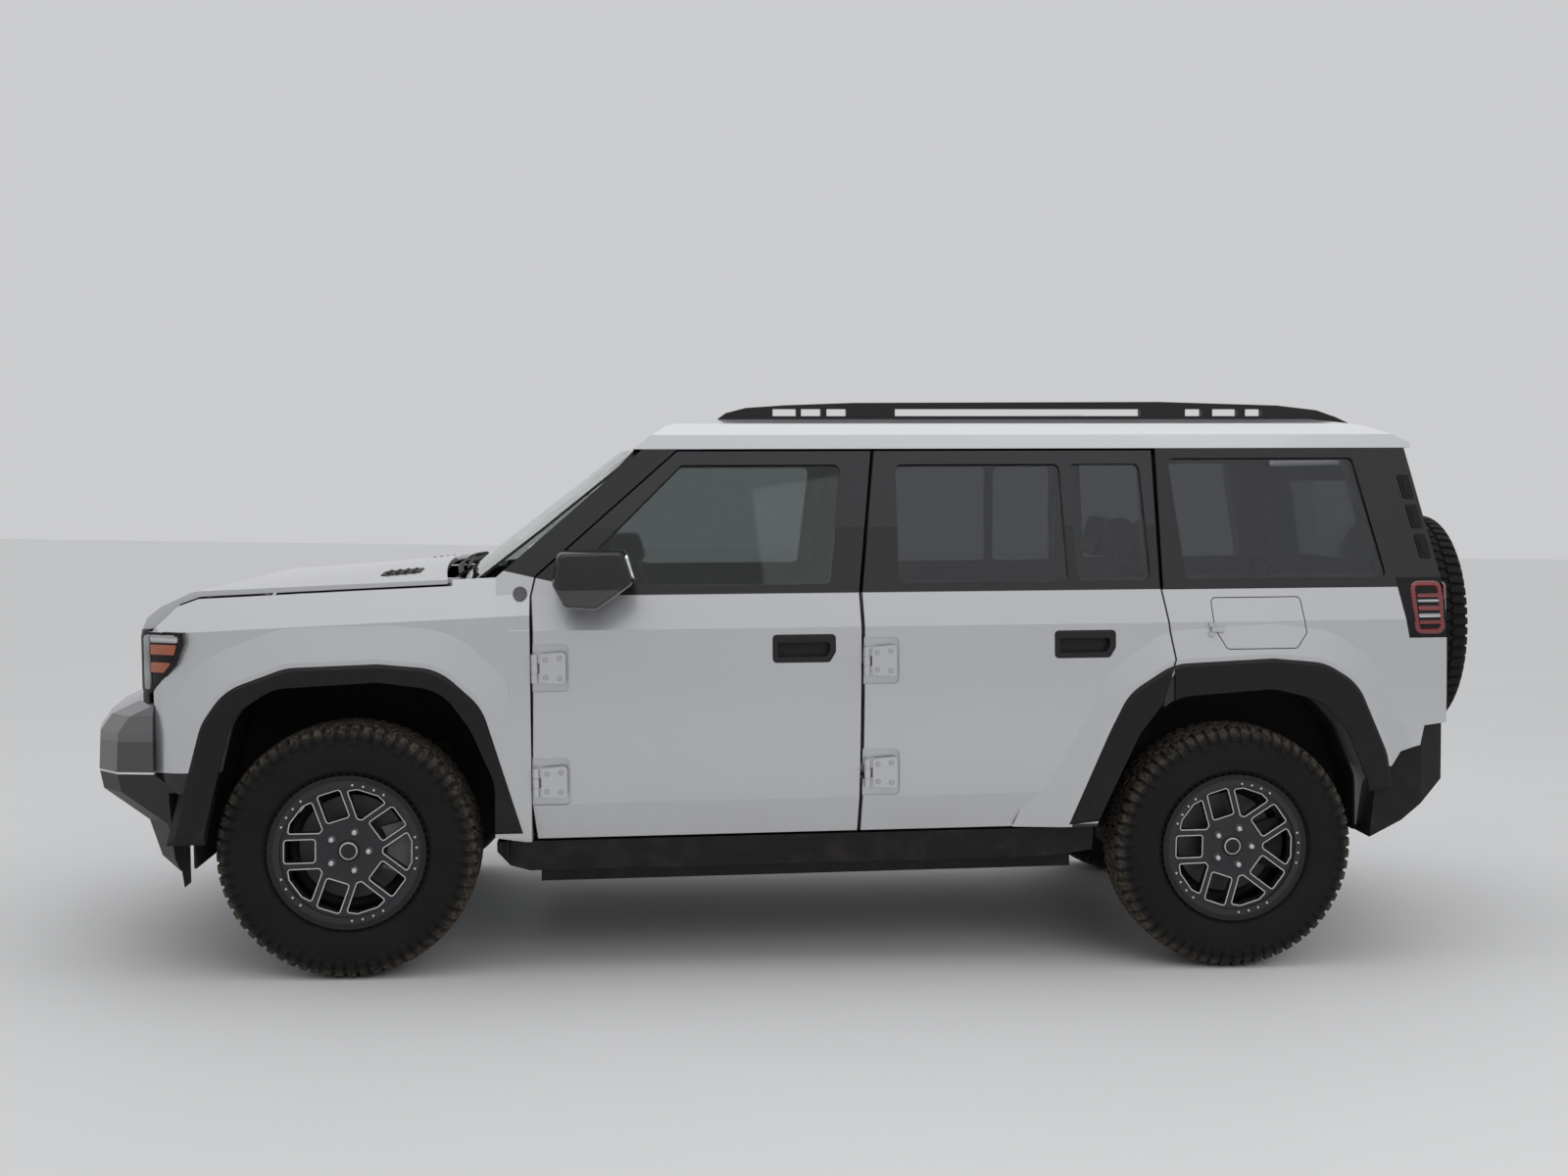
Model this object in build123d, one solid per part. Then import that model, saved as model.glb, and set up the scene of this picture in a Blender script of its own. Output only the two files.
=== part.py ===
from build123d import *
import math
import os

os.makedirs("parts", exist_ok=True)

# Five-door off-road sport utility vehicle, millimetres.
# +X runs forward, +Y to the left, +Z up. The body is drawn level, with x = 0
# midway between the axles, and then set at its nose-down attitude on the wheels.

# Driving dimensions
WHEELBASE = 2870
TRACK = 1640
RAKE = 1.26
FRONT_REACH = 2314.6
REAR_REACH = 2469.6
SHUT_GAP = 6
SEAT_GAP = 0.3

# Wheels and tyres
TYRE_RADIUS = 405
TYRE_WIDTH = 270
TYRE_SHOULDER = 42
RIM_RADIUS = 222
RIM_WALL = 15
RIM_LIP = 22
RIM_WIDTH = 242
SPOKE_FACE = 96
SPOKE_DEPTH = 42
SPOKES = 5
HUB_PAD_RADIUS = 92
HUB_BORE = 35
DISC_RADIUS = 166
DISC_WIDTH = 24
DISC_FACE = -22
HAT_RADIUS = 84

# Body heights, level drawing
SILL_BOTTOM = 355
SILL_TOP = 458
CREASE = 576
SHOULDER = 1128
BELT = 1235
ROOF_EDGE = 1702
ROOF_TOP = 1832
FLOOR_TOP = 470
FLOOR_THICK = 45
CARGO_FLOOR = 660

# Thicknesses
GLASS = 6
GLASS_SET = 9
LINER = 8
FLARE_FACE = 985
DOOR_SLANT = 0.2
SKIN_LIMIT = 960
SEAL_LAP = 30


def in_body(x, z):
    """A point of the standing vehicle, in the level body drawing."""
    turn = math.radians(RAKE)
    return (
        x * math.cos(turn) - z * math.sin(turn),
        x * math.sin(turn) + z * math.cos(turn),
    )


FRONT_AXLE = in_body(WHEELBASE / 2, TYRE_RADIUS)
REAR_AXLE = in_body(-WHEELBASE / 2, TYRE_RADIUS)
CENTRE_X = (REAR_REACH - FRONT_REACH) / 2


def front(dx, z):
    """A side-view point placed from the front axle."""
    return (FRONT_AXLE[0] + dx, z)


def rear(dx, z):
    """A side-view point placed from the rear axle."""
    return (REAR_AXLE[0] + dx, z)


def around(axle, outline):
    """An arch outline given as offsets from an axle."""
    return [(axle[0] + dx, axle[1] + dz) for dx, dz in outline]


def polygon(points, radius=0, grow=0):
    flat = Polygon(*points, align=None)
    if radius:
        flat = fillet(flat.vertices(), radius)
    if grow:
        flat = offset(flat, amount=grow, kind=Kind.INTERSECTION)
    return flat


def slab(points, y0, y1, radius=0, grow=0):
    """A side-view outline carried across the vehicle from y0 to y1."""
    flat = Plane.XZ.offset(-y0) * polygon(points, radius, grow)
    return extrude(flat, y1 - y0, dir=(0, 1, 0))


def plan(points, z0, z1, radius=0, grow=0):
    """A plan outline carried up from z0 to z1."""
    flat = Plane.XY.offset(z0) * polygon(points, radius, grow)
    return extrude(flat, z1 - z0, dir=(0, 0, 1))


def across(points, x0, x1, radius=0):
    """A cross-section outline carried along the vehicle from x0 to x1."""
    flat = Plane.YZ.offset(x0) * polygon(points, radius)
    return extrude(flat, x1 - x0, dir=(1, 0, 0))


def block(x0, x1, y0, y1, z0, z1):
    middle = Pos((x0 + x1) / 2, (y0 + y1) / 2, (z0 + z1) / 2)
    return middle * Box(x1 - x0, y1 - y0, z1 - z0)


def flip(shape):
    """The right-hand twin of a left-hand piece."""
    return mirror(shape, about=Plane.XZ)


def both(shape):
    """The left-hand piece and its twin, as separate solids."""
    return Compound(children=[*shape.solids(), *flip(shape).solids()])


ON_BODY = Pos(CENTRE_X, 0, 0) * Rot(0, RAKE, 0)
ON_GROUND = Pos(CENTRE_X, 0, 0)


def keep(name, shape, place=ON_BODY):
    group = Compound(children=list(shape.solids()))
    export_step(Plane(place).from_local_coords(group), f"parts/{name}.step")


# Side walls: half widths at each height
Z, SKIN, DOOR_IN, FRAME_OUT, FRAME_IN = range(5)
WALLS = (
    # height, outer skin, door inner face, side frame outer face, side frame inner face
    (SILL_BOTTOM, 893, 806, 796, 740),
    (SILL_TOP, 925, 816, 806, 748),
    (CREASE, 948, 830, 820, 760),
    (SHOULDER, 950, 830, 820, 762),
    (BELT, 918, 860, 850, 790),
    (ROOF_EDGE, 795, 750, 740, 680),
)
PANEL_CROWN = (956, 852)
BODY_FRONT = front(640, 0)[0]
BODY_BACK = rear(-760, 0)[0]


def skin_at(z):
    """Half width of the outer skin at a height."""
    for low, high in zip(WALLS, WALLS[1:]):
        if z <= high[Z]:
            share = (z - low[Z]) / (high[Z] - low[Z])
            return low[SKIN] + share * (high[SKIN] - low[SKIN])
    return WALLS[-1][SKIN]


def wall(outer, inner, outer_in=0, inner_in=0):
    """The left side wall between two columns of the table, along the whole body."""
    out = [(row[outer] - outer_in, row[Z]) for row in WALLS]
    back = [(row[inner] - inner_in, row[Z]) for row in reversed(WALLS)]
    if outer == SKIN:
        crown = (PANEL_CROWN[0] - outer_in, PANEL_CROWN[1])
        edges = Polyline(*out[:3]) + ThreePointArc(out[2], crown, out[3])
        edges += Polyline(*out[3:], *back, out[0])
    else:
        edges = Polyline(*out, *back, out[0])
    face = Plane.YZ.offset(BODY_BACK) * make_face(edges)
    return extrude(face, BODY_FRONT - BODY_BACK, dir=(1, 0, 0))


door_wall = wall(SKIN, DOOR_IN)
full_wall = wall(SKIN, FRAME_OUT)
frame_wall = wall(FRAME_OUT, FRAME_IN)
glass_wall = wall(SKIN, SKIN, GLASS_SET, GLASS_SET + GLASS)

# Openings in the side view
FRONT_DOOR = [
    front(-589, SILL_TOP + 3),
    front(-575, CREASE),
    front(-578, BELT),
    front(-592, BELT + 62),
    front(-1043, ROOF_EDGE - 5),
    (-251, ROOF_EDGE - 5),
    (-199, BELT),
    (-187, SILL_TOP + 3),
]
REAR_DOOR = [
    (-193, SILL_TOP + 3),
    (-205, BELT),
    (-257, ROOF_EDGE - 5),
    rear(252, ROOF_EDGE - 5),
    rear(249, BELT + 12),
    rear(215, 1008),
    rear(262, 862),
    rear(328, 778),
    rear(452, 522),
    rear(470, SILL_TOP + 3),
]
FRONT_WINDOW = [
    front(-757, 1264),
    front(-790, 1385),
    front(-1056, 1650),
    (-148, 1650),
    (-105, 1264),
]
REAR_WINDOW = [(-328, 1264), (-328, 1650), rear(569, 1650), rear(556, 1264)]
REAR_VENT = [rear(526, 1264), rear(536, 1650), rear(298, 1650), rear(280, 1264)]
QUARTER_WINDOW = [rear(200, 1668), rear(-440, 1668), rear(-528, 1268), rear(160, 1268)]
FRONT_ARCH = [
    (425, -320),
    (425, 60),
    (330, 445),
    (205, 525),
    (-109, 540),
    (-303, 512),
    (-391, 386),
    (-464, 214),
    (-458, -320),
]
FRONT_FLARE = [
    (540, 40),
    (437, 423),
    (362, 531),
    (170, 601),
    (-111, 609),
    (-300, 590),
    (-437, 462),
    (-565, 40),
]
REAR_ARCH = [
    (475, -320),
    (475, 102),
    (328, 405),
    (213, 512),
    (-118, 533),
    (-285, 491),
    (-370, 391),
    (-445, 210),
    (-470, -320),
]
REAR_FLARE = [
    (588, 84),
    (442, 408),
    (377, 535),
    (223, 632),
    (-117, 646),
    (-300, 628),
    (-419, 554),
    (-522, 316),
    (-545, 180),
]
ARCH_ROUND = 150
FLARE_ROUND = 190
FLARE_LEVELS = ((925, 0), (962, 0), (FLARE_FACE, -24))
BULGE_LEVELS = ((938, 150), (974, 2))


def arch_outline(axle, outline, radius, grow=0):
    """An outline round a wheel with every corner but its two feet rounded."""
    flat = Polygon(*around(axle, outline), align=None)
    flat = fillet(flat.vertices().sort_by(Axis.Y)[2:], radius)
    if grow:
        flat = offset(flat, amount=grow, kind=Kind.INTERSECTION)
    return flat


def front_arch(y0, y1, grow=0):
    flat = arch_outline(FRONT_AXLE, FRONT_ARCH, ARCH_ROUND, grow)
    return extrude(Plane.XZ.offset(-y0) * flat, y1 - y0, dir=(0, 1, 0))


def rear_arch(y0, y1, grow=0):
    flat = arch_outline(REAR_AXLE, REAR_ARCH, ARCH_ROUND, grow)
    return extrude(Plane.XZ.offset(-y0) * flat, y1 - y0, dir=(0, 1, 0))


def raised(axle, outline, levels):
    """A boss round a wheel: its outline at each distance out from the middle."""
    sections = [
        Plane.XZ.offset(-y) * arch_outline(axle, outline, FLARE_ROUND, grow) for y, grow in levels
    ]
    return loft(sections, ruled=True)


rear_arch_cut = rear_arch(560, 1100)
front_bulge = raised(FRONT_AXLE, FRONT_FLARE, BULGE_LEVELS)
rear_bulge = raised(REAR_AXLE, REAR_FLARE, BULGE_LEVELS)


def door_cut(outline, grow=0):
    """A door outline as it shows on the skin, run inward with its edges slanted forward."""
    moved = [(x - DOOR_SLANT * (SKIN_LIMIT - skin_at(z)), z) for x, z in outline]
    flat = Plane.XZ.offset(-SKIN_LIMIT - 60) * Pos(-DOOR_SLANT * 60, 0) * polygon(moved, 0, grow)
    return extrude(flat, 500, dir=(DOOR_SLANT, -1, 0))


front_door_gap = door_cut(FRONT_DOOR, SHUT_GAP / 2)
rear_door_gap = door_cut(REAR_DOOR, SHUT_GAP / 2)

# Tailgate opening, seen from behind
GATE_FACE = rear(-721, 0)[0]
GATE_LEAN = 96
GATE_THICK = 84
GATE_HALF = [(800, 786), (806, BELT), (700, 1676)]
GATE_TAPER = 9
GATE_WINDOW = [(560, 1300), (505, 1590)]
REAR_PROFILE = [
    (GATE_FACE, SILL_TOP - 100),
    (GATE_FACE, BELT),
    (GATE_FACE + GATE_LEAN, ROOF_EDGE),
    (BODY_FRONT, ROOF_EDGE),
    (BODY_FRONT, SILL_TOP - 100),
]
rear_limit = slab(REAR_PROFILE, -1100, 1100)
gate_depth = slab(
    [
        (GATE_FACE, 700),
        (GATE_FACE, BELT),
        (GATE_FACE + GATE_LEAN, ROOF_EDGE),
        (GATE_FACE + GATE_LEAN + GATE_THICK, ROOF_EDGE),
        (GATE_FACE + GATE_THICK, BELT),
        (GATE_FACE + GATE_THICK, 700),
    ],
    -1100,
    1100,
)


def gate_cut(grow=0):
    """The tailgate outline from behind, narrowing inward like a plug."""
    half = [*GATE_HALF, *[(-y, z) for y, z in reversed(GATE_HALF)]]
    flat = Plane.YZ.offset(GATE_FACE - 10) * polygon(half, 40, grow)
    return extrude(flat, 260, dir=(1, 0, 0), taper=GATE_TAPER)


gate_gap = gate_cut(SHUT_GAP)

# Body side frame: sill, pillars and roof side rail of each side in one ring
SIDE_RING = [
    front(-510, 395),
    front(-510, BELT + 40),
    front(-905, ROOF_EDGE),
    rear(-600, ROOF_EDGE),
    rear(-690, BELT),
    rear(-690, 560),
    rear(-430, 395),
]
A_PILLAR = [
    front(-470, 1240),
    front(-470, BELT + 62),
    front(-932, ROOF_EDGE),
    front(-1120, ROOF_EDGE),
    front(-650, BELT + 63),
    front(-650, 1240),
]
REAR_SURROUND = [
    rear(240, BELT + 2),
    rear(240, ROOF_EDGE),
    rear(-760, ROOF_EDGE),
    rear(-760, BELT + 2),
]
side_frame = frame_wall & slab(SIDE_RING, 0, 1100)
side_frame -= slab(FRONT_DOOR, 0, 1100, 0, -SEAL_LAP)
side_frame -= slab(REAR_DOOR, 0, 1100, 0, -SEAL_LAP)
side_frame -= slab(QUARTER_WINDOW, 0, 1100, 20, -8)
side_frame += (full_wall & slab(A_PILLAR, 0, 1100)) - front_door_gap
surround = full_wall & slab(REAR_SURROUND, 0, 1100)
surround -= slab(QUARTER_WINDOW, 0, 1100, 20)
side_frame += surround - rear_door_gap
side_frame &= rear_limit
side_frame -= gate_gap
side_frame -= rear_arch(560, 1100, LINER)
quarter_pane = (glass_wall & slab(QUARTER_WINDOW, 0, 1100, 20)) & rear_limit

# Quarter panels with the charge flap's pocket and the lamp corner
FLAP = [rear(82, 1205), rear(-219, 1205), rear(-236, 1088), rear(-200, 1040), rear(35, 1040), rear(75, 1109)]
FLAP_THICK = 9
FLAP_POCKET = 60
TAIL_LAMP = [rear(-556, 1266), rear(-592, 1066), rear(-760, 1066), rear(-760, 1266)]
QUARTER = [
    rear(249, BELT),
    rear(249, 600),
    rear(-525, 640),
    rear(-560, 688),
    rear(-632, 706),
    rear(-645, 772),
    rear(-760, 786),
    rear(-760, BELT),
]
BULGE_LIMIT = [
    (BODY_BACK, SILL_TOP + 3),
    (BODY_BACK, 1150),
    (BODY_FRONT, 1150),
    (BODY_FRONT, SILL_TOP + 3),
]
lamp_cut = slab(TAIL_LAMP, 0, 1100)
side_frame -= lamp_cut
flap_zone = slab(FLAP, 950 - FLAP_POCKET, 1000, 14, SHUT_GAP / 2)


def quarter_side(pocket=None):
    """One quarter panel with its boss round the wheel, and a pocket where one is given."""
    skin = full_wall & slab(QUARTER, 0, 1100)
    boss = rear_bulge & slab(BULGE_LIMIT, 0, 1100)
    if pocket:
        skin -= pocket
        boss -= pocket
    side = (skin + boss) & slab(QUARTER, 0, 1100)
    side -= rear_door_gap
    side = (side - rear_arch_cut) & rear_limit
    side -= gate_gap
    return side - lamp_cut


quarter = quarter_side()
left_quarter = quarter_side(flap_zone)
tail_lamp = ((full_wall & lamp_cut) & rear_limit) - gate_gap
flap_outline = slab(FLAP, 900, 1100, 14)
charge_flap = wall(SKIN, SKIN, 0, FLAP_THICK) & flap_outline
charge_flap += (rear_bulge & flap_outline) - wall(SKIN, SKIN, FLAP_THICK, 60)

# Doors, their glass and the flare carried by each rear door
front_door = (door_wall & door_cut(FRONT_DOOR, -SHUT_GAP / 2)) - slab(FRONT_WINDOW, 0, 1100, 22)
rear_door_body = door_wall + (rear_bulge & slab(BULGE_LIMIT, 0, 1100))
rear_door = (rear_door_body & door_cut(REAR_DOOR, -SHUT_GAP / 2)) - rear_arch_cut
rear_door -= slab(REAR_WINDOW, 0, 1100, 22)
rear_door -= slab(REAR_VENT, 0, 1100, 22)
front_pane = glass_wall & slab(FRONT_WINDOW, 0, 1100, 22)
rear_panes = glass_wall & slab(REAR_WINDOW, 0, 1100, 22)
rear_panes += glass_wall & slab(REAR_VENT, 0, 1100, 22)

# Door handles: a bezel seat and a finger recess in each door
HANDLE_SEAT = [(100, 46), (-104, 46), (-104, -12), (-84, -45), (100, -45)]
HANDLE_RECESS = [(84, 20), (-84, 20), (-84, -8), (-72, -27), (84, -27)]
HANDLE_SPOTS = ((-14, 1060), (rear(511, 0)[0], 1061))
HANDLE_STEP = 3
HANDLE_DEPTH = 34


def handle_cut(x, z):
    """The recess of one door handle at its middle point."""
    seat = slab([(x + dx, z + dz) for dx, dz in HANDLE_SEAT], 0, 1100, 14)
    recess = slab([(x + dx, z + dz) for dx, dz in HANDLE_RECESS], 0, 1100, 10)
    return (seat & wall(SKIN, SKIN, -20, HANDLE_STEP)) + (recess & wall(SKIN, SKIN, -20, HANDLE_DEPTH))


front_door -= handle_cut(*HANDLE_SPOTS[0])
rear_door -= handle_cut(*HANDLE_SPOTS[1])

# Door hinges: two to a door, a knuckle and pin on the pillar and two knuckles on the door
HINGE_OUT = 968
HINGE_BACK = 14
HINGE_KNUCKLE = 11
HINGE_PIN = 6
HINGE_STEP = 30
HINGE_LEAF = 8
HINGE_REACH = 96
HINGE_NOTCH = 8


def upright_pin(x, y, z0, z1, radius):
    return Pos(x, y, (z0 + z1) / 2) * Cylinder(radius, z1 - z0)


def hinge(x, z):
    """Body half and door half of one door hinge, and the notch it needs in the door."""
    low, high = z - HINGE_STEP / 2, z + HINGE_STEP / 2
    body_half = upright_pin(x, HINGE_OUT, low, high, HINGE_KNUCKLE)
    body_half += upright_pin(x, HINGE_OUT, low - HINGE_STEP, high + HINGE_STEP, HINGE_PIN)
    body_half += block(x - HINGE_LEAF / 2, x + HINGE_LEAF / 2, 790, HINGE_OUT, low, high)
    door_half = upright_pin(x, HINGE_OUT, low - HINGE_STEP, low - 1, HINGE_KNUCKLE)
    door_half += upright_pin(x, HINGE_OUT, high + 1, high + HINGE_STEP, HINGE_KNUCKLE)
    door_half += block(x - HINGE_REACH, x, HINGE_OUT - 36, HINGE_OUT - 4, low - HINGE_STEP, low - 1)
    door_half += block(x - HINGE_REACH, x, HINGE_OUT - 36, HINGE_OUT - 4, high + 1, high + HINGE_STEP)
    door_half -= upright_pin(x, HINGE_OUT, z - 100, z + 100, HINGE_PIN + SEAT_GAP)
    notch = block(x - HINGE_NOTCH, x + 80, 700, 1100, low - HINGE_NOTCH, high + HINGE_NOTCH)
    return body_half, door_half, notch


HINGE_POCKET = [(-106, -76), (40, -76), (40, 76), (-106, 76)]
HINGE_SEAT = 9


def hinge_pocket(x, z):
    """The shallow recess in a door's skin round one hinge."""
    outline = slab([(x + dx, z + dz) for dx, dz in HINGE_POCKET], 0, 1100, 16)
    return outline & wall(SKIN, SKIN, -60, HINGE_SEAT)


FRONT_HINGE_X = front(-576 - HINGE_BACK, 0)[0]
REAR_HINGE_X = -202 - HINGE_BACK
HINGE_HEIGHTS = (648, 1010)
hinge_halves = []
for height in HINGE_HEIGHTS:
    body_half, door_half, notch = hinge(FRONT_HINGE_X, height)
    door_edge = block(FRONT_HINGE_X - 60, FRONT_HINGE_X + 80, 0, HINGE_OUT - HINGE_KNUCKLE, 0, 2000)
    front_door -= hinge_pocket(FRONT_HINGE_X, height)
    front_door += door_half
    front_door -= notch & door_edge
    hinge_halves.append(body_half - frame_wall)
    body_half, door_half, notch = hinge(REAR_HINGE_X, height + 8)
    door_edge = block(REAR_HINGE_X - 60, REAR_HINGE_X + 80, 0, HINGE_OUT - HINGE_KNUCKLE, 0, 2000)
    rear_door -= hinge_pocket(REAR_HINGE_X, height + 8)
    rear_door += door_half
    rear_door -= notch & door_edge
    hinge_halves.append(body_half - frame_wall)

# Fenders
FENDER_FALL = 0.039
FENDER_SECTION = [
    (893, SILL_BOTTOM),
    (925, SILL_TOP),
    (948, CREASE),
    (952, 852),
    (948, 1178),
    (890, 1300),
    (862, 1300),
    (862, 1288),
    (922, 1166),
    (926, 852),
    (922, CREASE),
    (899, SILL_TOP),
    (867, SILL_BOTTOM),
]
FENDER = [
    front(-575, SILL_TOP),
    front(-575, 1340),
    front(640, 1340),
    front(640, 940),
    front(575, 940),
    front(575, 700),
    front(500, 640),
]
HOOD_SHUT = [(440, 1238), (500, 1216), (575, 1140), (760, 1140)]
HOOD_SHUT_BACK = (-333, 1270)
HOOD_LINE = [front(*point) for point in (HOOD_SHUT_BACK, *HOOD_SHUT, (760, 1500), (HOOD_SHUT_BACK[0], 1500))]
fender_back = front(-593, 0)[0]
fender_face = Plane.YZ.offset(fender_back) * polygon(FENDER_SECTION)
fender = extrude(fender_face, 1320, dir=(1, 0, -FENDER_FALL))
nose_front = front(625, 0)[0]
nose_side = front(440, 0)[0]
nose_mid = front(700, 0)[0]
nose_outline = Polyline((nose_side, 0), (BODY_BACK, 0), (BODY_BACK, 985), (nose_side, 985))
nose_outline += ThreePointArc((nose_side, 985), (front(566, 0)[0], 932), (nose_front, 850))
nose_outline += ThreePointArc((nose_front, 850), (front(681, 0)[0], 450), (nose_mid, 0))
nose_outline += Polyline((nose_mid, 0), (nose_side, 0))
nose_limit = extrude(Plane.XY * make_face(nose_outline), 1500, dir=(0, 0, 1))
nose_limit += flip(nose_limit)
fender += front_bulge & slab(BULGE_LIMIT, 0, 1100)
fender = (fender & slab(FENDER, 0, 1100)) & nose_limit
fender -= slab(HOOD_LINE, 0, 1100)
fender += (full_wall & slab([front(-575, SILL_TOP), front(-575, 1240), front(-510, 1240), front(-510, SILL_TOP)], 0, 1100))
fender -= front_door_gap
fender -= front_arch(560, 1100)
HEADLAMP = [front(470, 1139), front(470, 1101), front(494, 1039), front(585, 946), front(760, 940), front(760, 1139)]
headlamp_cut = slab(HEADLAMP, 520, 1100)
fender -= headlamp_cut
fender -= side_frame
for half in hinge_halves:
    fender -= half

# Hood: a panel crowned most at its back, rolled down at the nose, hollow below
HOOD_EDGE = 872
HOOD_ENDS = ((-400, 1292, 52), (640, 1253, 4))
HOOD_NOSE = [(393, 1400), (393, 1276), (470, 1255), (560, 1213), (603, 1178), (615, 1146), (760, 1146)]
HOOD_SKIN = 16
HOOD_RIM = 60
HOOD_HOLLOW = (-280, 545)
HOOD_BACK = (-336, -258)


def bowed(ends, bow, back, reach):
    """Plan region behind a line across the vehicle that bows forward at its middle."""
    arc = ThreePointArc((ends, -1000), (bow, 0), (ends, 1000))
    edges = arc + Polyline((ends, 1000), (back, 1000), (back, -1000), (ends, -1000))
    return extrude(Plane.XY * make_face(edges), reach, dir=(0, 0, 1))


def crowned(half, drop):
    """The block under the hood's top surface, between its two end sections."""
    sections = []
    for dx, edge, crown in HOOD_ENDS:
        top = ThreePointArc((half, edge - drop), (0, edge + crown - drop), (-half, edge - drop))
        base = Polyline((-half, edge - drop), (-half, 1000), (half, 1000), (half, edge - drop))
        sections.append(Plane.YZ.offset(front(dx, 0)[0]) * make_face(top + base))
    return loft(sections, ruled=True)


hood_ends, hood_bow = (front(dx, 0)[0] for dx in HOOD_BACK)
hood_side = [(x, z + SHUT_GAP) for x, z in (HOOD_SHUT_BACK, *HOOD_SHUT[:3])]
hood_side = [(-385, hood_side[0][1]), *hood_side, *reversed(HOOD_NOSE[:-1]), (-385, 1400)]
hood = crowned(HOOD_EDGE, 0) & slab([front(*point) for point in hood_side], -1000, 1000)
hood &= nose_limit
hood_hollow = crowned(HOOD_EDGE - HOOD_RIM, HOOD_SKIN)
hood_hollow &= block(*(front(dx, 0)[0] for dx in HOOD_HOLLOW), -1000, 1000, 1000, 1400)
hood_hollow &= slab([front(x - HOOD_SKIN, z - HOOD_SKIN) for x, z in (*HOOD_NOSE[:-1], (615, 900), (-385, 900), (-385, 1400))], -1000, 1000)
hood -= hood_hollow
hood -= bowed(hood_ends, hood_bow, front(-700, 0)[0], 2000)

# Nose panel, lamps and bumpers
NOSE_PANEL = [front(590, 890), front(590, 1140), front(760, 1140), front(760, 890)]
nose_panel = (slab(NOSE_PANEL, -900, 900) & nose_limit) - headlamp_cut - flip(headlamp_cut)
nose_panel -= fender
nose_panel -= flip(fender)
headlamp = (headlamp_cut & nose_limit) - slab(
    [front(440, 900), front(440, 1200), front(560, 1200), front(560, 900)], 0, 905
)
BUMPER_PLAN = [(580, 952), (690, 926), (768, 830), (806, 690), (858, 330), (874, 0)]
BUMPER_BACK = 430
BUMPER_LEVELS = (
    # height, set back
    (310, 250),
    (369, 242),
    (425, 184),
    (540, 148),
    (644, 12),
    (707, 0),
    (826, 6),
    (878, 42),
    (917, 126),
)
BUMPER_SIDE = [(430, 640), (530, 640), (530, 300), (900, 300), (900, 930), (575, 930), (575, 700), (500, 640)]
bumper_sections = []
for z, back in BUMPER_LEVELS:
    edge = [(front(dx - back, 0)[0], y) for dx, y in BUMPER_PLAN]
    ends = [(front(BUMPER_BACK - back, 0)[0], 0), (front(BUMPER_BACK - back, 0)[0], 952)]
    bumper_sections.append(Plane.XY.offset(z) * polygon([*edge, *ends]))
bumper_half_solid = loft(bumper_sections, ruled=True)
bumper_half_solid &= slab([front(*point) for point in BUMPER_SIDE], 0, 1100)
bumper = bumper_half_solid + flip(bumper_half_solid)
bumper -= plan([(front(300, 0)[0], -700), (front(650, 0)[0], -700), (front(650, 0)[0], 700), (front(300, 0)[0], 700)], 300, 950)
bumper -= front_arch(560, 1100)
bumper -= flip(front_arch(560, 1100))
bumper -= fender
bumper -= flip(fender)
bumper -= nose_panel

REAR_BUMPER = [
    rear(-463, 398),
    rear(-573, 452),
    rear(-642, 508),
    rear(-752, 600),
    rear(-758, 700),
    rear(-744, 762),
    rear(-716, 783),
    rear(-668, 783),
    rear(-645, 765),
    rear(-632, 706),
    rear(-541, 684),
    rear(-480, 560),
]
rear_bumper_half = slab(REAR_BUMPER, 0, 940) & plan(
    [
        (rear(-400, 0)[0], 0),
        (rear(-400, 0)[0], 945),
        (rear(-640, 0)[0], 940),
        (rear(-730, 0)[0], 890),
        (rear(-758, 0)[0], 800),
        (rear(-762, 0)[0], 0),
    ],
    300,
    900,
)
rear_bumper = rear_bumper_half + flip(rear_bumper_half)
rear_bumper -= rear_arch(560, 1100)
rear_bumper -= flip(rear_arch(560, 1100))
rear_bumper -= quarter
rear_bumper -= flip(quarter)
rear_bumper -= side_frame
rear_bumper -= flip(side_frame)

# Wheel-arch flares, laid on the panels
front_flare = raised(FRONT_AXLE, FRONT_FLARE, FLARE_LEVELS)
front_flare -= front_arch(560, 1100)
front_flare -= fender
front_flare -= bumper
front_flare -= block(front(-700, 0)[0], front(700, 0)[0], 0, 930, 0, 2000)
front_flare -= front_door_gap
rear_flare_all = raised(REAR_AXLE, REAR_FLARE, FLARE_LEVELS)
rear_flare_all -= rear_arch(560, 1100)
rear_flare_all -= full_wall
rear_flare_all -= rear_bulge
rear_flare_all -= block(rear(-800, 0)[0], rear(800, 0)[0], 0, 926, 0, 2000)
rear_flare = (rear_flare_all - rear_door_gap) - rear_bumper
rear_flare &= slab([rear(215, 300), rear(215, 1200), rear(-700, 1200), rear(-700, 300)], 0, 1100)
door_flare = rear_flare_all & door_cut(REAR_DOOR, -SHUT_GAP / 2)

# Sill cladding
SILL = [
    front(-456, 429),
    front(-501, 374),
    front(-562, SILL_BOTTOM),
    rear(654, SILL_BOTTOM),
    rear(579, SILL_BOTTOM + 5),
    rear(476, SILL_BOTTOM + 20),
    rear(476, SILL_TOP - 3),
    front(-456, SILL_TOP - 3),
]
sill = wall(SKIN, FRAME_OUT) & slab(SILL, 0, 1100)
sill -= front_arch(560, 1100)
sill -= rear_arch_cut
sill -= fender
sill -= front_flare
sill -= side_frame
sill -= front_door_gap
sill -= rear_door_gap

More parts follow.
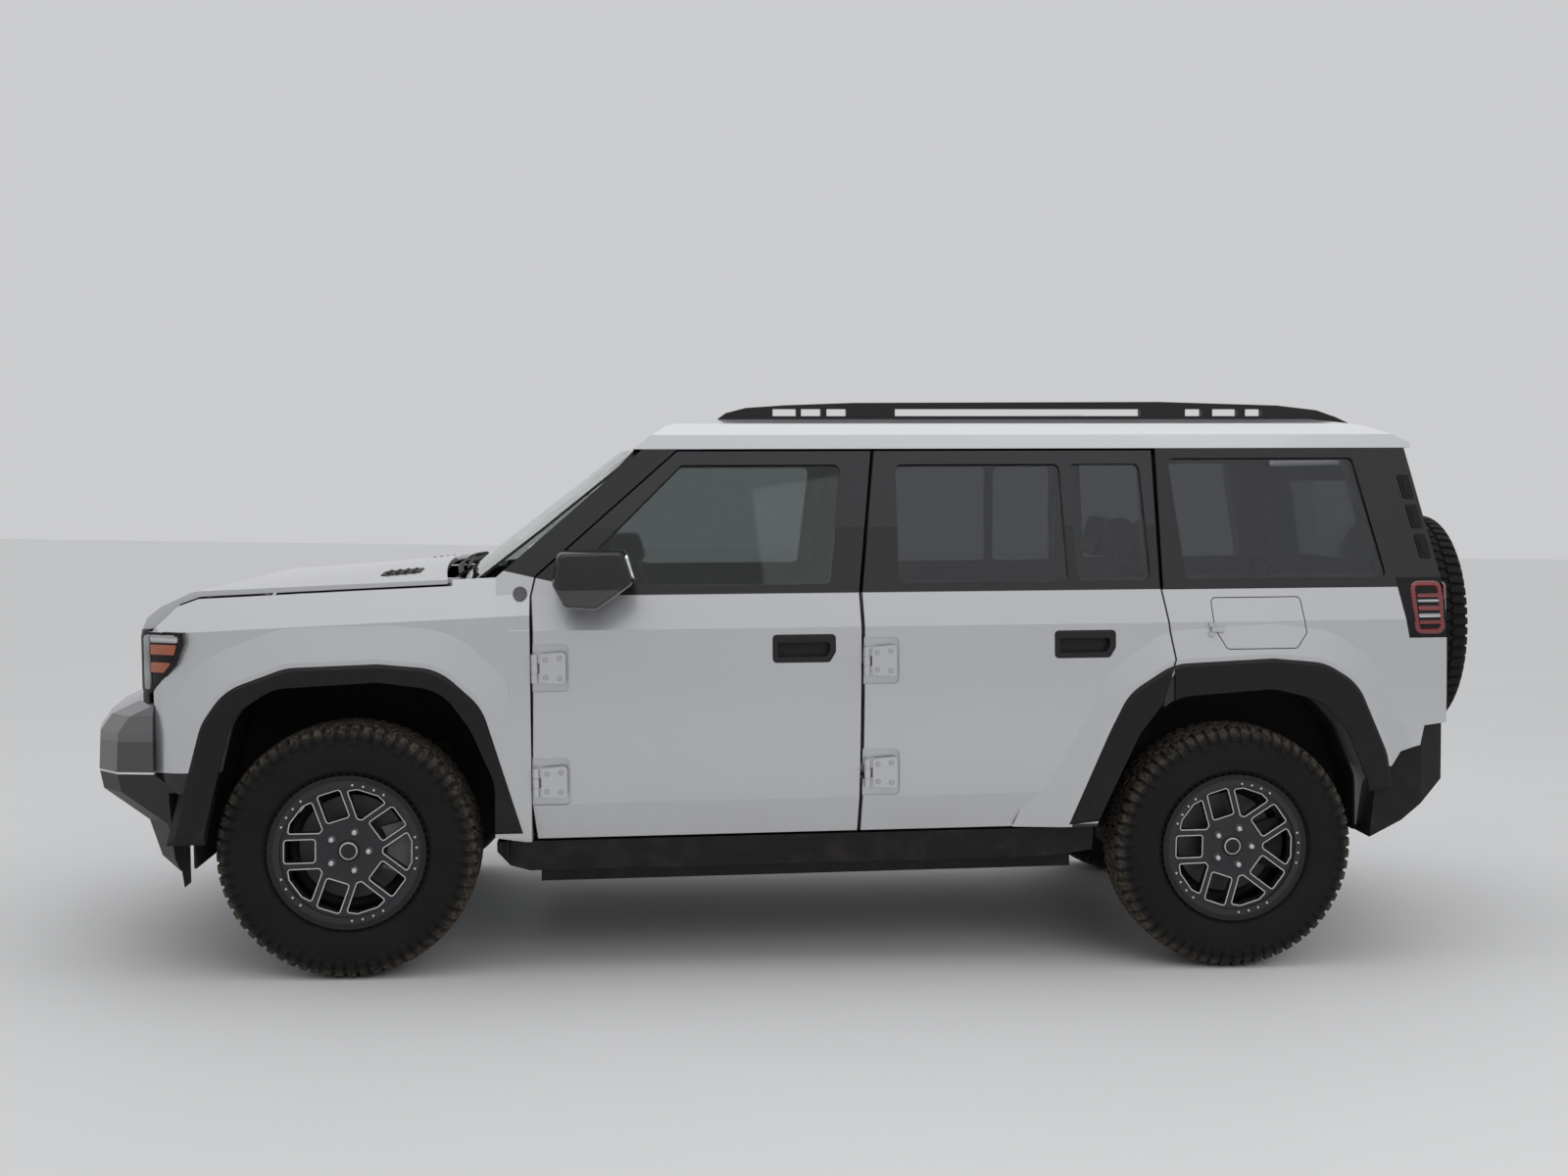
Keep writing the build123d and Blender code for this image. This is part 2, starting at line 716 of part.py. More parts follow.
# Roof
ROOF_SIDE = [
    rear(-650, ROOF_EDGE),
    rear(-648, 1719),
    rear(-590, 1748),
    rear(-495, 1780),
    rear(-200, 1818),
    (-600, ROOF_TOP),
    (0, ROOF_TOP - 4),
    front(-1110, 1800),
    front(-1010, 1780),
    front(-958, 1745),
    front(-900, ROOF_EDGE),
]
ROOF_SECTION = [(795, ROOF_EDGE), (778, 1748), (735, 1786), (690, 1803), (400, 1824), (0, ROOF_TOP)]
roof_half = across([*ROOF_SECTION, (0, ROOF_EDGE)], BODY_BACK, BODY_FRONT)
roof_block = (roof_half + flip(roof_half)) & slab(ROOF_SIDE, -1000, 1000)
roof_hollow_half = across(
    [(680, ROOF_EDGE), (680, 1752), (400, 1776), (0, ROOF_TOP - 48), (0, ROOF_EDGE)],
    rear(-420, 0)[0],
    front(-1130, 0)[0],
)
roof = roof_block - roof_hollow_half - flip(roof_hollow_half)

# Windscreen, curved in plan and leaning back
SCREEN_FOOT = 1266
SCREEN_RUN = 520
SCREEN_RISE = 401
SCREEN_BOW = 100
SCREEN_DEPTH = 14
screen_x = front(-372, 0)[0]
screen_edge = ThreePointArc((screen_x, -800), (screen_x + SCREEN_BOW, 0), (screen_x, 800))
screen_back = ThreePointArc((screen_x - SCREEN_DEPTH, 800), (screen_x + SCREEN_BOW - SCREEN_DEPTH, 0), (screen_x - SCREEN_DEPTH, -800))
screen_face = make_face(
    screen_edge
    + Line((screen_x, 800), (screen_x - SCREEN_DEPTH, 800))
    + screen_back
    + Line((screen_x - SCREEN_DEPTH, -800), (screen_x, -800))
)
screen = extrude(Plane.XY.offset(SCREEN_FOOT) * screen_face, 900, dir=(-SCREEN_RUN, 0, SCREEN_RISE))
screen &= block(-2000, 2000, -1000, 1000, SCREEN_FOOT, ROOF_EDGE)
screen -= side_frame
screen -= flip(side_frame)
screen -= full_wall
screen -= flip(full_wall)
screen -= roof
screen = screen.solids().sort_by(SortBy.VOLUME)[-1]


# Cowl between hood and windscreen
COWL = (1216, SCREEN_FOOT)
cowl = bowed(hood_ends - SHUT_GAP, hood_bow - SHUT_GAP, front(-520, 0)[0], COWL[1])
cowl &= block(0, BODY_FRONT, -858, 858, *COWL)
cowl -= bowed(screen_x - 30, screen_x + SCREEN_BOW - 30, front(-700, 0)[0], COWL[1])
for piece in (screen, side_frame, flip(side_frame), fender, flip(fender)):
    cowl -= piece

# Hood hinges on the cowl
HOOD_PIN = (front(-346, 0)[0], 1282)
HOOD_PIN_RADIUS = 5
hood_pin_x, hood_pin_z = HOOD_PIN
hood_post = block(hood_pin_x - 11, hood_pin_x + 11, 792, 808, COWL[1], hood_pin_z + 9)
hood_post += Pos(hood_pin_x, 800, hood_pin_z) * Rot(90, 0, 0) * Cylinder(HOOD_PIN_RADIUS, 46)
hood_lug = block(hood_pin_x - 10, hood_pin_x + 50, 778, 822, hood_pin_z - 6, hood_pin_z + 9)
hood_lug -= block(hood_pin_x - 20, hood_pin_x + 20, 791, 809, hood_pin_z - 20, hood_pin_z + 20)
hood_bore = Pos(hood_pin_x, 800, hood_pin_z) * Rot(90, 0, 0) * Cylinder(HOOD_PIN_RADIUS + SEAT_GAP, 60)
hood += hood_lug - hood_bore
hood += flip(hood_lug - hood_bore)
hinge_halves.append(hood_post - cowl)

# Floor, firewall and cargo floor
FIREWALL = front(-540, 0)[0]
KICK_UP = rear(430, 0)[0]
CABIN_HALF = 778
TUB_HALF = 622
floor = slab(
    [
        (FIREWALL, FLOOR_TOP - FLOOR_THICK),
        (FIREWALL, 1262),
        (FIREWALL + 30, 1262),
        (FIREWALL + 30, FLOOR_TOP - FLOOR_THICK - 30),
        (KICK_UP, FLOOR_TOP - FLOOR_THICK - 30),
        (KICK_UP, CARGO_FLOOR - FLOOR_THICK),
        (GATE_FACE + 100, CARGO_FLOOR - FLOOR_THICK),
        (GATE_FACE + 100, CARGO_FLOOR),
        (KICK_UP + 40, CARGO_FLOOR),
        (KICK_UP + 40, FLOOR_TOP),
        (FIREWALL, FLOOR_TOP),
    ],
    -CABIN_HALF,
    CABIN_HALF,
)
for y0, y1 in ((TUB_HALF, 1000), (-1000, -TUB_HALF)):
    floor -= block(rear(-700, 0)[0], rear(540, 0)[0], y0, y1, 0, 2000)
floor -= side_frame
floor -= flip(side_frame)
floor -= rear_bumper

# Wheelhouses: arched liner and inner wall over each wheel
FRONT_LINER_GROW = 30
FRONT_WALL_Y = 455
liner_front = front_arch(FRONT_WALL_Y - LINER, 940, FRONT_LINER_GROW + LINER)
liner_front -= front_arch(FRONT_WALL_Y, 1000, FRONT_LINER_GROW)
liner_front -= block(*(FRONT_AXLE[0] + dx for dx in (-270, 270)), 0, 560, 0, 720)
liner_front &= block(*(FRONT_AXLE[0] + dx for dx in (-600, 520)), 0, 1000, 400, 2000)
for piece in (fender, side_frame, floor, bumper, nose_panel, headlamp, front_flare, sill):
    liner_front -= piece
liner_rear = rear_arch(TUB_HALF, 840, LINER)
liner_rear -= rear_arch(TUB_HALF + LINER, 1000)
liner_rear -= block(*(REAR_AXLE[0] + dx for dx in (-270, 270)), 0, 700, 0, 600)
liner_rear &= block(*(REAR_AXLE[0] + dx for dx in (-600, 600)), 0, 1000, 400, 2000)
for piece in (full_wall, side_frame, floor, rear_bumper, sill):
    liner_rear -= piece

# Front rails and bumper beam
RAIL = (372, 442, 668, 768)
rails = block(FIREWALL + 30, front(620, 0)[0], *RAIL)
rails += flip(rails)
rails += block(front(590, 0)[0], front(650, 0)[0], -700, 700, RAIL[2], RAIL[3])

# Towing eyes under the beam, through the bumper's lower face
TOW_EYE = [
    front(596, 572),
    front(826, 572),
    front(842, 586),
    front(842, 612),
    front(826, 626),
    front(650, 626),
    front(650, RAIL[2]),
    front(596, RAIL[2]),
]
TOW_HOLE = front(816, 599)
TOW_RADIUS = 15
TOW_Y = (408, 432)
TOW_CLEAR = 4
tow_bore = Pos(TOW_HOLE[0], TOW_Y[0], TOW_HOLE[1]) * Rot(90, 0, 0) * Cylinder(TOW_RADIUS, 120)
tow_eye = slab(TOW_EYE, *TOW_Y) - tow_bore
rails += both(tow_eye)
bumper -= both(slab(TOW_EYE, TOW_Y[0] - TOW_CLEAR, TOW_Y[1] + TOW_CLEAR, 0, TOW_CLEAR))
rails -= liner_front
rails -= flip(liner_front)
rails -= bumper

# Seats, dashboard and steering wheel
SEAT_Y = (120, 640)
SEAT_BACK = [(-110, 700), (-270, 1330), (-390, 1310), (-240, 690)]
SEAT_CUSHION = [(-240, 600), (330, 600), (345, 720), (300, 765), (-200, 712)]
HEAD_REST = [(-270, 1300), (-300, 1500), (-385, 1490), (-360, 1300)]
seat = slab(SEAT_CUSHION, *SEAT_Y, 30) + slab(SEAT_BACK, *SEAT_Y, 30)
seat += slab(HEAD_REST, 250, 510, 25)
seat += block(-180, 260, 170, 590, FLOOR_TOP, 640)
BENCH_CUSHION = [rear(290, CARGO_FLOOR), rear(830, CARGO_FLOOR), rear(840, 735), rear(800, 775), rear(320, 720)]
BENCH_BACK = [rear(390, 690), rear(230, 1300), rear(130, 1280), rear(250, 690)]
BENCH_REST = [rear(240, 1270), rear(215, 1470), rear(130, 1460), rear(150, 1270)]
bench = slab(BENCH_CUSHION, -TUB_HALF + 12, TUB_HALF - 12, 30)
bench += slab(BENCH_BACK, -TUB_HALF + 12, TUB_HALF - 12, 25)
for y in (-400, 0, 400):
    bench += slab(BENCH_REST, y - 120, y + 120, 25)
bench += block(rear(480, 0)[0], rear(780, 0)[0], -560, 560, FLOOR_TOP, CARGO_FLOOR + 10)
bench -= floor
DASH = [
    (FIREWALL, 800),
    (FIREWALL, 1250),
    (FIREWALL - 120, 1255),
    (FIREWALL - 240, 1215),
    (FIREWALL - 280, 1130),
    (FIREWALL - 240, 1000),
    (FIREWALL - 180, 800),
]
dash = slab(DASH, -CABIN_HALF, CABIN_HALF)
dash -= side_frame
dash -= flip(side_frame)
dash -= screen
WHEEL_RIM = 185
WHEEL_GRIP = 15
HUB = 46
HUB_DEEP = 56
COLUMN_PIN = 12
wheel_plane = Plane((430, 380, 1140), x_dir=(0, 1, 0), z_dir=(-math.cos(math.radians(25)), 0, math.sin(math.radians(25))))
steering_wheel = Torus(WHEEL_RIM, WHEEL_GRIP) + Pos(0, 0, -HUB_DEEP / 2) * Cylinder(HUB, HUB_DEEP)
for angle in (0, 180, 270):
    steering_wheel += Rot(0, 0, angle) * Pos(WHEEL_RIM / 2, 0, -12) * Box(WHEEL_RIM, 34, 14)
steering_wheel -= Pos(0, 0, -HUB_DEEP) * Cylinder(COLUMN_PIN + SEAT_GAP, HUB_DEEP)
column = Pos(0, 0, -HUB_DEEP - 6 - 160) * Cylinder(30, 320)
column += Pos(0, 0, -HUB_DEEP) * Cylinder(COLUMN_PIN, HUB_DEEP)
steering_wheel = wheel_plane * steering_wheel
column = (wheel_plane * column) - floor
dash += column

# Mirrors
MIRROR = [front(-651, 1280), front(-672, 1384), front(-882, 1389), front(-915, 1285), front(-860, 1256), front(-690, 1256)]
MIRROR_FOOT = [front(-690, 1208), front(-790, 1192), front(-815, 1262), front(-672, 1262)]
mirror_piece = slab(MIRROR, 968, 1130, 18) + slab(MIRROR_FOOT, 880, 1050)
mirror_piece -= front_door
mirror_piece -= full_wall

# Roof rails
RAIL_Y = (652, 694)
ROOF_RAIL = [
    front(-1134, 1772),
    front(-1204, 1822),
    front(-1269, 1839),
    front(-1399, 1848),
    (-202, 1856),
    rear(202, 1860),
    rear(-212, 1848),
    rear(-351, 1832),
    rear(-421, 1808),
    rear(-500, 1772),
]
RAIL_SLOTS = (
    # middle, length
    (front(-1398, 0)[0], 78),
    (front(-1486, 0)[0], 66),
    (front(-1571, 0)[0], 66),
    (-760, 838),
    (rear(80, 0)[0], 60),
    (rear(-30, 0)[0], 90),
    (rear(-130, 0)[0], 60),
)
roof_rail = slab(ROOF_RAIL, *RAIL_Y) - roof
for middle, length in RAIL_SLOTS:
    roof_rail -= slab(
        [(middle - length / 2, 1812), (middle + length / 2, 1812), (middle + length / 2, 1836), (middle - length / 2, 1836)],
        600,
        750,
    )

# Tailgate with glass
gate = gate_depth & gate_cut()
gate_window = [*GATE_WINDOW, *[(-y, z) for y, z in reversed(GATE_WINDOW)]]
gate_window_cut = across(gate_window, GATE_FACE - 50, GATE_FACE + 300, 30)
gate -= gate_window_cut
gate_pane = slab(
    [
        (GATE_FACE + 10, BELT),
        (GATE_FACE + GATE_LEAN + 10, ROOF_EDGE),
        (GATE_FACE + GATE_LEAN + 17, ROOF_EDGE),
        (GATE_FACE + 17, BELT),
    ],
    -1000,
    1000,
)
gate_pane &= gate_window_cut


# Tailgate hinges on the right-hand corner, and the charge flap's hinge
GATE_PIN = (GATE_FACE - 15, -830)
GATE_HINGES = (900, 1316)
single_halves = []
for height in GATE_HINGES:
    low, high = height - HINGE_STEP / 2, height + HINGE_STEP / 2
    post = upright_pin(*GATE_PIN, low, high, HINGE_KNUCKLE)
    post += upright_pin(*GATE_PIN, low - HINGE_STEP, high + HINGE_STEP, HINGE_PIN)
    post += block(GATE_FACE - 22, GATE_FACE + 70, GATE_PIN[1] - 62, GATE_PIN[1] - 4, low, high)
    single_halves.append(post - flip(side_frame) - flip(quarter) - flip(tail_lamp))
    strap = block(GATE_FACE - 20, GATE_FACE + 60, GATE_PIN[1], GATE_PIN[1] + 140, low - HINGE_STEP, low - 1)
    strap += block(GATE_FACE - 20, GATE_FACE + 60, GATE_PIN[1], GATE_PIN[1] + 140, high + 1, high + HINGE_STEP)
    strap -= block(GATE_FACE - 4, GATE_FACE + 100, GATE_PIN[1] - 10, GATE_PIN[1] + 60, 0, 2000)
    strap += upright_pin(*GATE_PIN, low - HINGE_STEP, low - 1, HINGE_KNUCKLE)
    strap += upright_pin(*GATE_PIN, high + 1, high + HINGE_STEP, HINGE_KNUCKLE)
    strap -= upright_pin(*GATE_PIN, 0, 2000, HINGE_PIN + SEAT_GAP)
    gate += strap
gate -= gate_window_cut
FLAP_PIN = (rear(84, 0)[0], 962)
FLAP_KNUCKLE = 5
FLAP_BORE = 2.5
flap_low, flap_high = 1096, 1112
flap_post = upright_pin(*FLAP_PIN, flap_low - 14, flap_high + 14, FLAP_BORE)
for z0 in (flap_low - 14, flap_high + 1):
    flap_post += upright_pin(*FLAP_PIN, z0, z0 + 13, FLAP_KNUCKLE)
    flap_post += block(FLAP_PIN[0], FLAP_PIN[0] + 12, 930, FLAP_PIN[1] + 3, z0, z0 + 13)
single_halves.append(flap_post - left_quarter)
flap_arm = upright_pin(*FLAP_PIN, flap_low, flap_high, FLAP_KNUCKLE)
flap_arm += block(FLAP_PIN[0] - 40, FLAP_PIN[0], 956, FLAP_PIN[1] + 4, flap_low, flap_high)
flap_arm += block(FLAP_PIN[0] - 40, FLAP_PIN[0] - 26, 942, FLAP_PIN[1] + 4, flap_low, flap_high)
flap_arm -= upright_pin(*FLAP_PIN, 1000, 1300, FLAP_BORE + SEAT_GAP)
charge_flap += flap_arm
hinges = [solid for half in hinge_halves for solid in both(half).solids()]
hinges += [solid for half in single_halves for solid in half.solids()]


# Wheels
def tyre():
    """Tyre ring about the Y axis: bead, bulging side walls, rounded shoulders, crowned tread."""
    bead = RIM_WIDTH / 2 - 14
    side = TYRE_WIDTH / 2
    crown = TYRE_RADIUS - 10
    edge = TYRE_WIDTH / 2 - 30
    outline = Polyline((RIM_RADIUS, -bead), (RIM_RADIUS, bead), (RIM_RADIUS + RIM_LIP + 6, bead))
    outline += ThreePointArc(
        (RIM_RADIUS + RIM_LIP + 6, bead),
        ((RIM_RADIUS + RIM_LIP + crown - TYRE_SHOULDER) / 2, side),
        (crown - TYRE_SHOULDER, side - 6),
    )
    outline += Polyline((crown - TYRE_SHOULDER, side - 6), (crown, edge))
    outline += ThreePointArc((crown, edge), (TYRE_RADIUS, 0), (crown, -edge))
    outline += Polyline((crown, -edge), (crown - TYRE_SHOULDER, 6 - side))
    outline += ThreePointArc(
        (crown - TYRE_SHOULDER, 6 - side),
        ((RIM_RADIUS + RIM_LIP + crown - TYRE_SHOULDER) / 2, -side),
        (RIM_RADIUS + RIM_LIP + 6, -bead),
    )
    outline += Line((RIM_RADIUS + RIM_LIP + 6, -bead), (RIM_RADIUS, -bead))
    return revolve(Plane.XY * make_face(outline), Axis.Y)


def rim():
    """Wheel about the Y axis: barrel with lips, and a dished face of paired spokes."""
    inner = RIM_RADIUS - RIM_WALL
    bead = RIM_WIDTH / 2 - 14
    lip = RIM_RADIUS + RIM_LIP
    edge = RIM_WIDTH / 2
    back = SPOKE_FACE - SPOKE_DEPTH
    barrel = polygon(
        [(inner, -edge), (lip, -edge), (lip, -bead), (RIM_RADIUS, -bead), (RIM_RADIUS, bead), (lip, bead), (lip, edge), (inner, edge)]
    )
    face = polygon(
        [
            (HUB_BORE, back - 14),
            (HUB_PAD_RADIUS, back - 14),
            (HUB_PAD_RADIUS + 10, back),
            (inner + 4, back),
            (inner + 4, SPOKE_FACE + 8),
            (HUB_PAD_RADIUS, SPOKE_FACE - 12),
            (HUB_BORE, SPOKE_FACE - 12),
        ]
    )
    wheel = revolve(Plane.XY * barrel, Axis.Y) + revolve(Plane.XY * face, Axis.Y)
    window = Plane.XZ.offset(-200) * (Pos(149, 0) * RectangleRounded(92, 72, 8))
    window_cut = extrude(window, 300, dir=(0, -1, 0))
    gap = Plane.XZ.offset(-200) * polygon([(106, -7), (106, 7), (182, 61), (196, 33), (196, -33), (182, -61)], 6)
    gap_cut = extrude(gap, 300, dir=(0, -1, 0))
    for spoke in range(SPOKES):
        turn = spoke * 360 / SPOKES
        wheel -= Rot(0, turn, 0) * window_cut
        wheel -= Rot(0, turn + 180 / SPOKES, 0) * gap_cut
    return wheel


def disc():
    """Brake disc and its hat, seated on the wheel's hub pad."""
    back = SPOKE_FACE - SPOKE_DEPTH - 14
    outline = polygon(
        [
            (HUB_BORE, back),
            (HAT_RADIUS, back),
            (HAT_RADIUS, DISC_FACE + DISC_WIDTH),
            (DISC_RADIUS, DISC_FACE + DISC_WIDTH),
            (DISC_RADIUS, DISC_FACE),
            (HAT_RADIUS - 10, DISC_FACE),
            (HAT_RADIUS - 10, back - 10),
            (HUB_BORE, back - 10),
        ]
    )
    return revolve(Plane.XY * outline, Axis.Y)


tyre_solid = tyre()
rim_solid = rim()
disc_solid = disc()
KINGPIN = 100
UPRIGHT = (45, 150)
PIN = 16
PIN_END = 190
ARM_THICK = 26
spindle = Pos(0, -13, 0) * Rot(90, 0, 0) * Cylinder(HUB_BORE - SEAT_GAP, 165)
upright = block(-UPRIGHT[0], UPRIGHT[0], -KINGPIN - 25, -KINGPIN + 25, -UPRIGHT[1], UPRIGHT[1])
caliper_outline = Plane.XZ.offset(78) * polygon([(-40, -50), (-40, 50), (-170, 88), (-188, 40), (-192, 0), (-188, -40), (-170, -88)])
caliper = extrude(caliper_outline, 104, dir=(0, 1, 0))
caliper_slot = Pos(0, DISC_FACE + DISC_WIDTH / 2, 0) * Rot(90, 0, 0) * Cylinder(DISC_RADIUS + 6, DISC_WIDTH + 14)
caliper_slot += Pos(0, 30, 0) * Rot(90, 0, 0) * Cylinder(112, 70 + DISC_WIDTH)
knuckle_core = upright + spindle
knuckle_core += (caliper - caliper_slot)
knuckle = knuckle_core + Pos(0, -KINGPIN, 0) * Cylinder(PIN, 2 * PIN_END)
SPARE_CLEAR = 50
SPARE_Z = 1054
spare_x = GATE_FACE - SPARE_CLEAR - TYRE_WIDTH / 2
on_gate = Pos(spare_x, 0, SPARE_Z) * Rot(0, 0, 90)
carrier_front = spare_x - (SPOKE_FACE - SPOKE_DEPTH - 14)
carrier = block(GATE_FACE - 22, GATE_FACE, -210, 210, SPARE_Z - 190, SPARE_Z + 190)
carrier += Pos((GATE_FACE + carrier_front) / 2, 0, SPARE_Z) * Rot(0, 90, 0) * Cylinder(86, GATE_FACE - carrier_front)
carrier -= gate

corners = {
    "front_left": (WHEELBASE / 2, TRACK / 2, 1),
    "front_right": (WHEELBASE / 2, TRACK / 2, -1),
    "rear_left": (-WHEELBASE / 2, TRACK / 2, 1),
    "rear_right": (-WHEELBASE / 2, TRACK / 2, -1),
}
for name, (x, y, side) in corners.items():
    spot = Pos(x, y, TYRE_RADIUS)
    pieces = [spot * tyre_solid, Compound(children=[*(spot * rim_solid).solids(), *(spot * disc_solid).solids()])]
    if side < 0:
        pieces = [flip(piece) for piece in pieces]
    keep(f"tyre_{name}", pieces[0], ON_GROUND)
    keep(f"wheel_{name}", pieces[1], ON_GROUND)

# Suspension: subframe with wishbones at each axle
SUBFRAME_Z = (212, 392)
TOWER_TOP = 606
TOWER = (372, 446)
half = block(-190, 190, 0, 360, *SUBFRAME_Z)
half += block(-130, 130, *TOWER, SUBFRAME_Z[0], TOWER_TOP)
half += block(-130, 130, 330, TOWER[1], *SUBFRAME_Z)
pin_y = TRACK / 2 - KINGPIN
for low in (TYRE_RADIUS - PIN_END, TYRE_RADIUS + PIN_END - ARM_THICK):
    arm = plan([(-125, TOWER[0] + 20), (125, TOWER[0] + 20), (34, pin_y + 32), (-34, pin_y + 32)], low, low + ARM_THICK)
    half += arm
half -= Pos(0, pin_y, TYRE_RADIUS) * Cylinder(PIN + SEAT_GAP, 1000)
shaft = Pos(0, 472, TYRE_RADIUS) * Rot(90, 0, 0) * Cylinder(18, 384)
half -= Pos(0, 480, TYRE_RADIUS) * Rot(90, 0, 0) * Cylinder(30, 460)
subframe = half + flip(half)
unit = block(-170, 170, -280, 280, SUBFRAME_Z[1], 600)
rear_upright = Pos(0, TRACK / 2, TYRE_RADIUS) * (knuckle_core + Pos(0, -KINGPIN, 0) * Cylinder(PIN + SEAT_GAP, 2 * PIN_END))
rear_subframe = subframe + rear_upright + flip(rear_upright)
TO_BODY = Rot(0, -RAKE, 0)
front_place = Pos(WHEELBASE / 2, 0, 0)
rear_place = Pos(-WHEELBASE / 2, 0, 0)
front_subframe = TO_BODY * front_place * subframe
front_subframe += block(*(FRONT_AXLE[0] + dx for dx in (-100, 100)), RAIL[0], RAIL[1], 600, RAIL[2])
front_subframe += flip(block(*(FRONT_AXLE[0] + dx for dx in (-100, 100)), RAIL[0], RAIL[1], 600, RAIL[2]))
front_subframe -= rails
rear_frame = TO_BODY * rear_place * rear_subframe
rear_frame += block(*(REAR_AXLE[0] + dx for dx in (-100, 100)), *TOWER, 540, CARGO_FLOOR - FLOOR_THICK)
rear_frame += flip(block(*(REAR_AXLE[0] + dx for dx in (-100, 100)), *TOWER, 540, CARGO_FLOOR - FLOOR_THICK))
rear_frame -= floor
front_unit = (TO_BODY * front_place * unit) - rails - front_subframe
rear_unit = (TO_BODY * rear_place * unit) - floor - rear_frame
shafts = [
    (TO_BODY * place * (shaft if side > 0 else flip(shaft))) - front_unit - rear_unit
    for place in (front_place, rear_place)
    for side in (1, -1)
]
front_knuckle = front_place * Pos(0, TRACK / 2, TYRE_RADIUS) * knuckle
keep("front_knuckle_left", front_knuckle, ON_GROUND)
keep("front_knuckle_right", flip(front_knuckle), ON_GROUND)

# Battery under the floor
battery = block(rear(500, 0)[0], FIREWALL - 40, -640, 640, 270, FLOOR_TOP - FLOOR_THICK - 30)
battery -= floor

for name, shape in (
    ("body_sides", both(side_frame)),
    ("fixed_glass", Compound(children=[*both(quarter_pane).solids(), *screen.solids()])),
    ("quarter_panels", Compound(children=[*left_quarter.solids(), *flip(quarter).solids()])),
    ("tail_lamps", both(tail_lamp)),
    ("charge_flap", charge_flap),
    ("front_door_left", front_door),
    ("front_door_right", flip(front_door)),
    ("front_glass_left", front_pane),
    ("front_glass_right", flip(front_pane)),
    ("rear_door_left", rear_door),
    ("rear_door_right", flip(rear_door)),
    ("rear_glass_left", rear_panes),
    ("rear_glass_right", flip(rear_panes)),
    ("rear_door_flare_left", door_flare),
    ("rear_door_flare_right", flip(door_flare)),
    ("fenders", both(fender)),
    ("hood", hood),
    ("nose_panel", nose_panel),
    ("headlamps", both(headlamp)),
    ("front_bumper", bumper),
    ("rear_bumper", rear_bumper),
    ("flares", Compound(children=[*both(front_flare).solids(), *both(rear_flare).solids()])),
    ("sills", both(sill)),
    ("roof_panel", roof),
    ("cowl", cowl),
    ("floor_pan", floor),
    ("wheelhouses", Compound(children=[*both(liner_front).solids(), *both(liner_rear).solids()])),
    ("front_rails", rails),
    ("front_seats", both(seat)),
    ("rear_seat", bench),
    ("dashboard", dash),
    ("steering_wheel", steering_wheel),
    ("mirror_left", mirror_piece),
    ("mirror_right", flip(mirror_piece)),
    ("roof_rails", both(roof_rail)),
    ("tailgate", gate),
    ("tailgate_glass", gate_pane),
    ("spare_tyre", on_gate * tyre_solid),
    ("spare_wheel", on_gate * rim_solid),
    ("spare_carrier", carrier),
    ("subframes", Compound(children=[*front_subframe.solids(), *rear_frame.solids()])),
    ("drive_units", Compound(children=[*front_unit.solids(), *rear_unit.solids()])),
    ("drive_shafts", Compound(children=[solid for piece in shafts for solid in piece.solids()])),
    ("battery_pack", battery),
    ("hinges", Compound(children=hinges)),
):
    keep(name, shape)
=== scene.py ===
import math

import bmesh
import bpy
import numpy as np
from mathutils import Matrix, Vector


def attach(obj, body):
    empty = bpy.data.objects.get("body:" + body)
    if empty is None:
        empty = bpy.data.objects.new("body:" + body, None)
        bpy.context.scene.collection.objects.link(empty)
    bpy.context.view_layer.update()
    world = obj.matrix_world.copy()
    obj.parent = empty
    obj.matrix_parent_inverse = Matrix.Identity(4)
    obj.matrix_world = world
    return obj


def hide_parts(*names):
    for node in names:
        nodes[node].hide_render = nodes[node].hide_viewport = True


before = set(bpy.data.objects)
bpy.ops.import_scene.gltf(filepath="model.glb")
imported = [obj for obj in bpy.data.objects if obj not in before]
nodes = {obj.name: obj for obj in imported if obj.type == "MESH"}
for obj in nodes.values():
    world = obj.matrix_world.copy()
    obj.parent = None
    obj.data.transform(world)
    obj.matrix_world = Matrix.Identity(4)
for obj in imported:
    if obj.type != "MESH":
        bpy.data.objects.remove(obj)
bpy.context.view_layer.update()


# Painted panels
# Pressed skins of the hood, fenders, doors, quarters, roof, tailgate and charge flap, sprayed
# silver metallic under clear lacquer. Frames above the belt are gloss black, linings dark.
def grey(value, blue=None):
    """A neutral colour, or one with its own share of blue."""
    return (value, value, blue or value, 1)


LEAN = math.radians(1.26)
MIDDLE = 0.0775
BELT, GATE_BELT = 1.236, 1.262
BELT_BEND, BELT_RISE = 0.588, 0.2337
WING_LINING, DOOR_LINING, POCKET_SHARE = 0.85, 0.862, 0.0765
DULL_FLAKE = (0.47, 0.475, 0.487, 1)
BRIGHT_FLAKE = (0.61, 0.616, 0.63, 1)
LINING = grey(0.022, 0.024)
GLOSS_BLACK = grey(0.012, 0.013)
DUST = (0.25, 0.19, 0.13, 1)


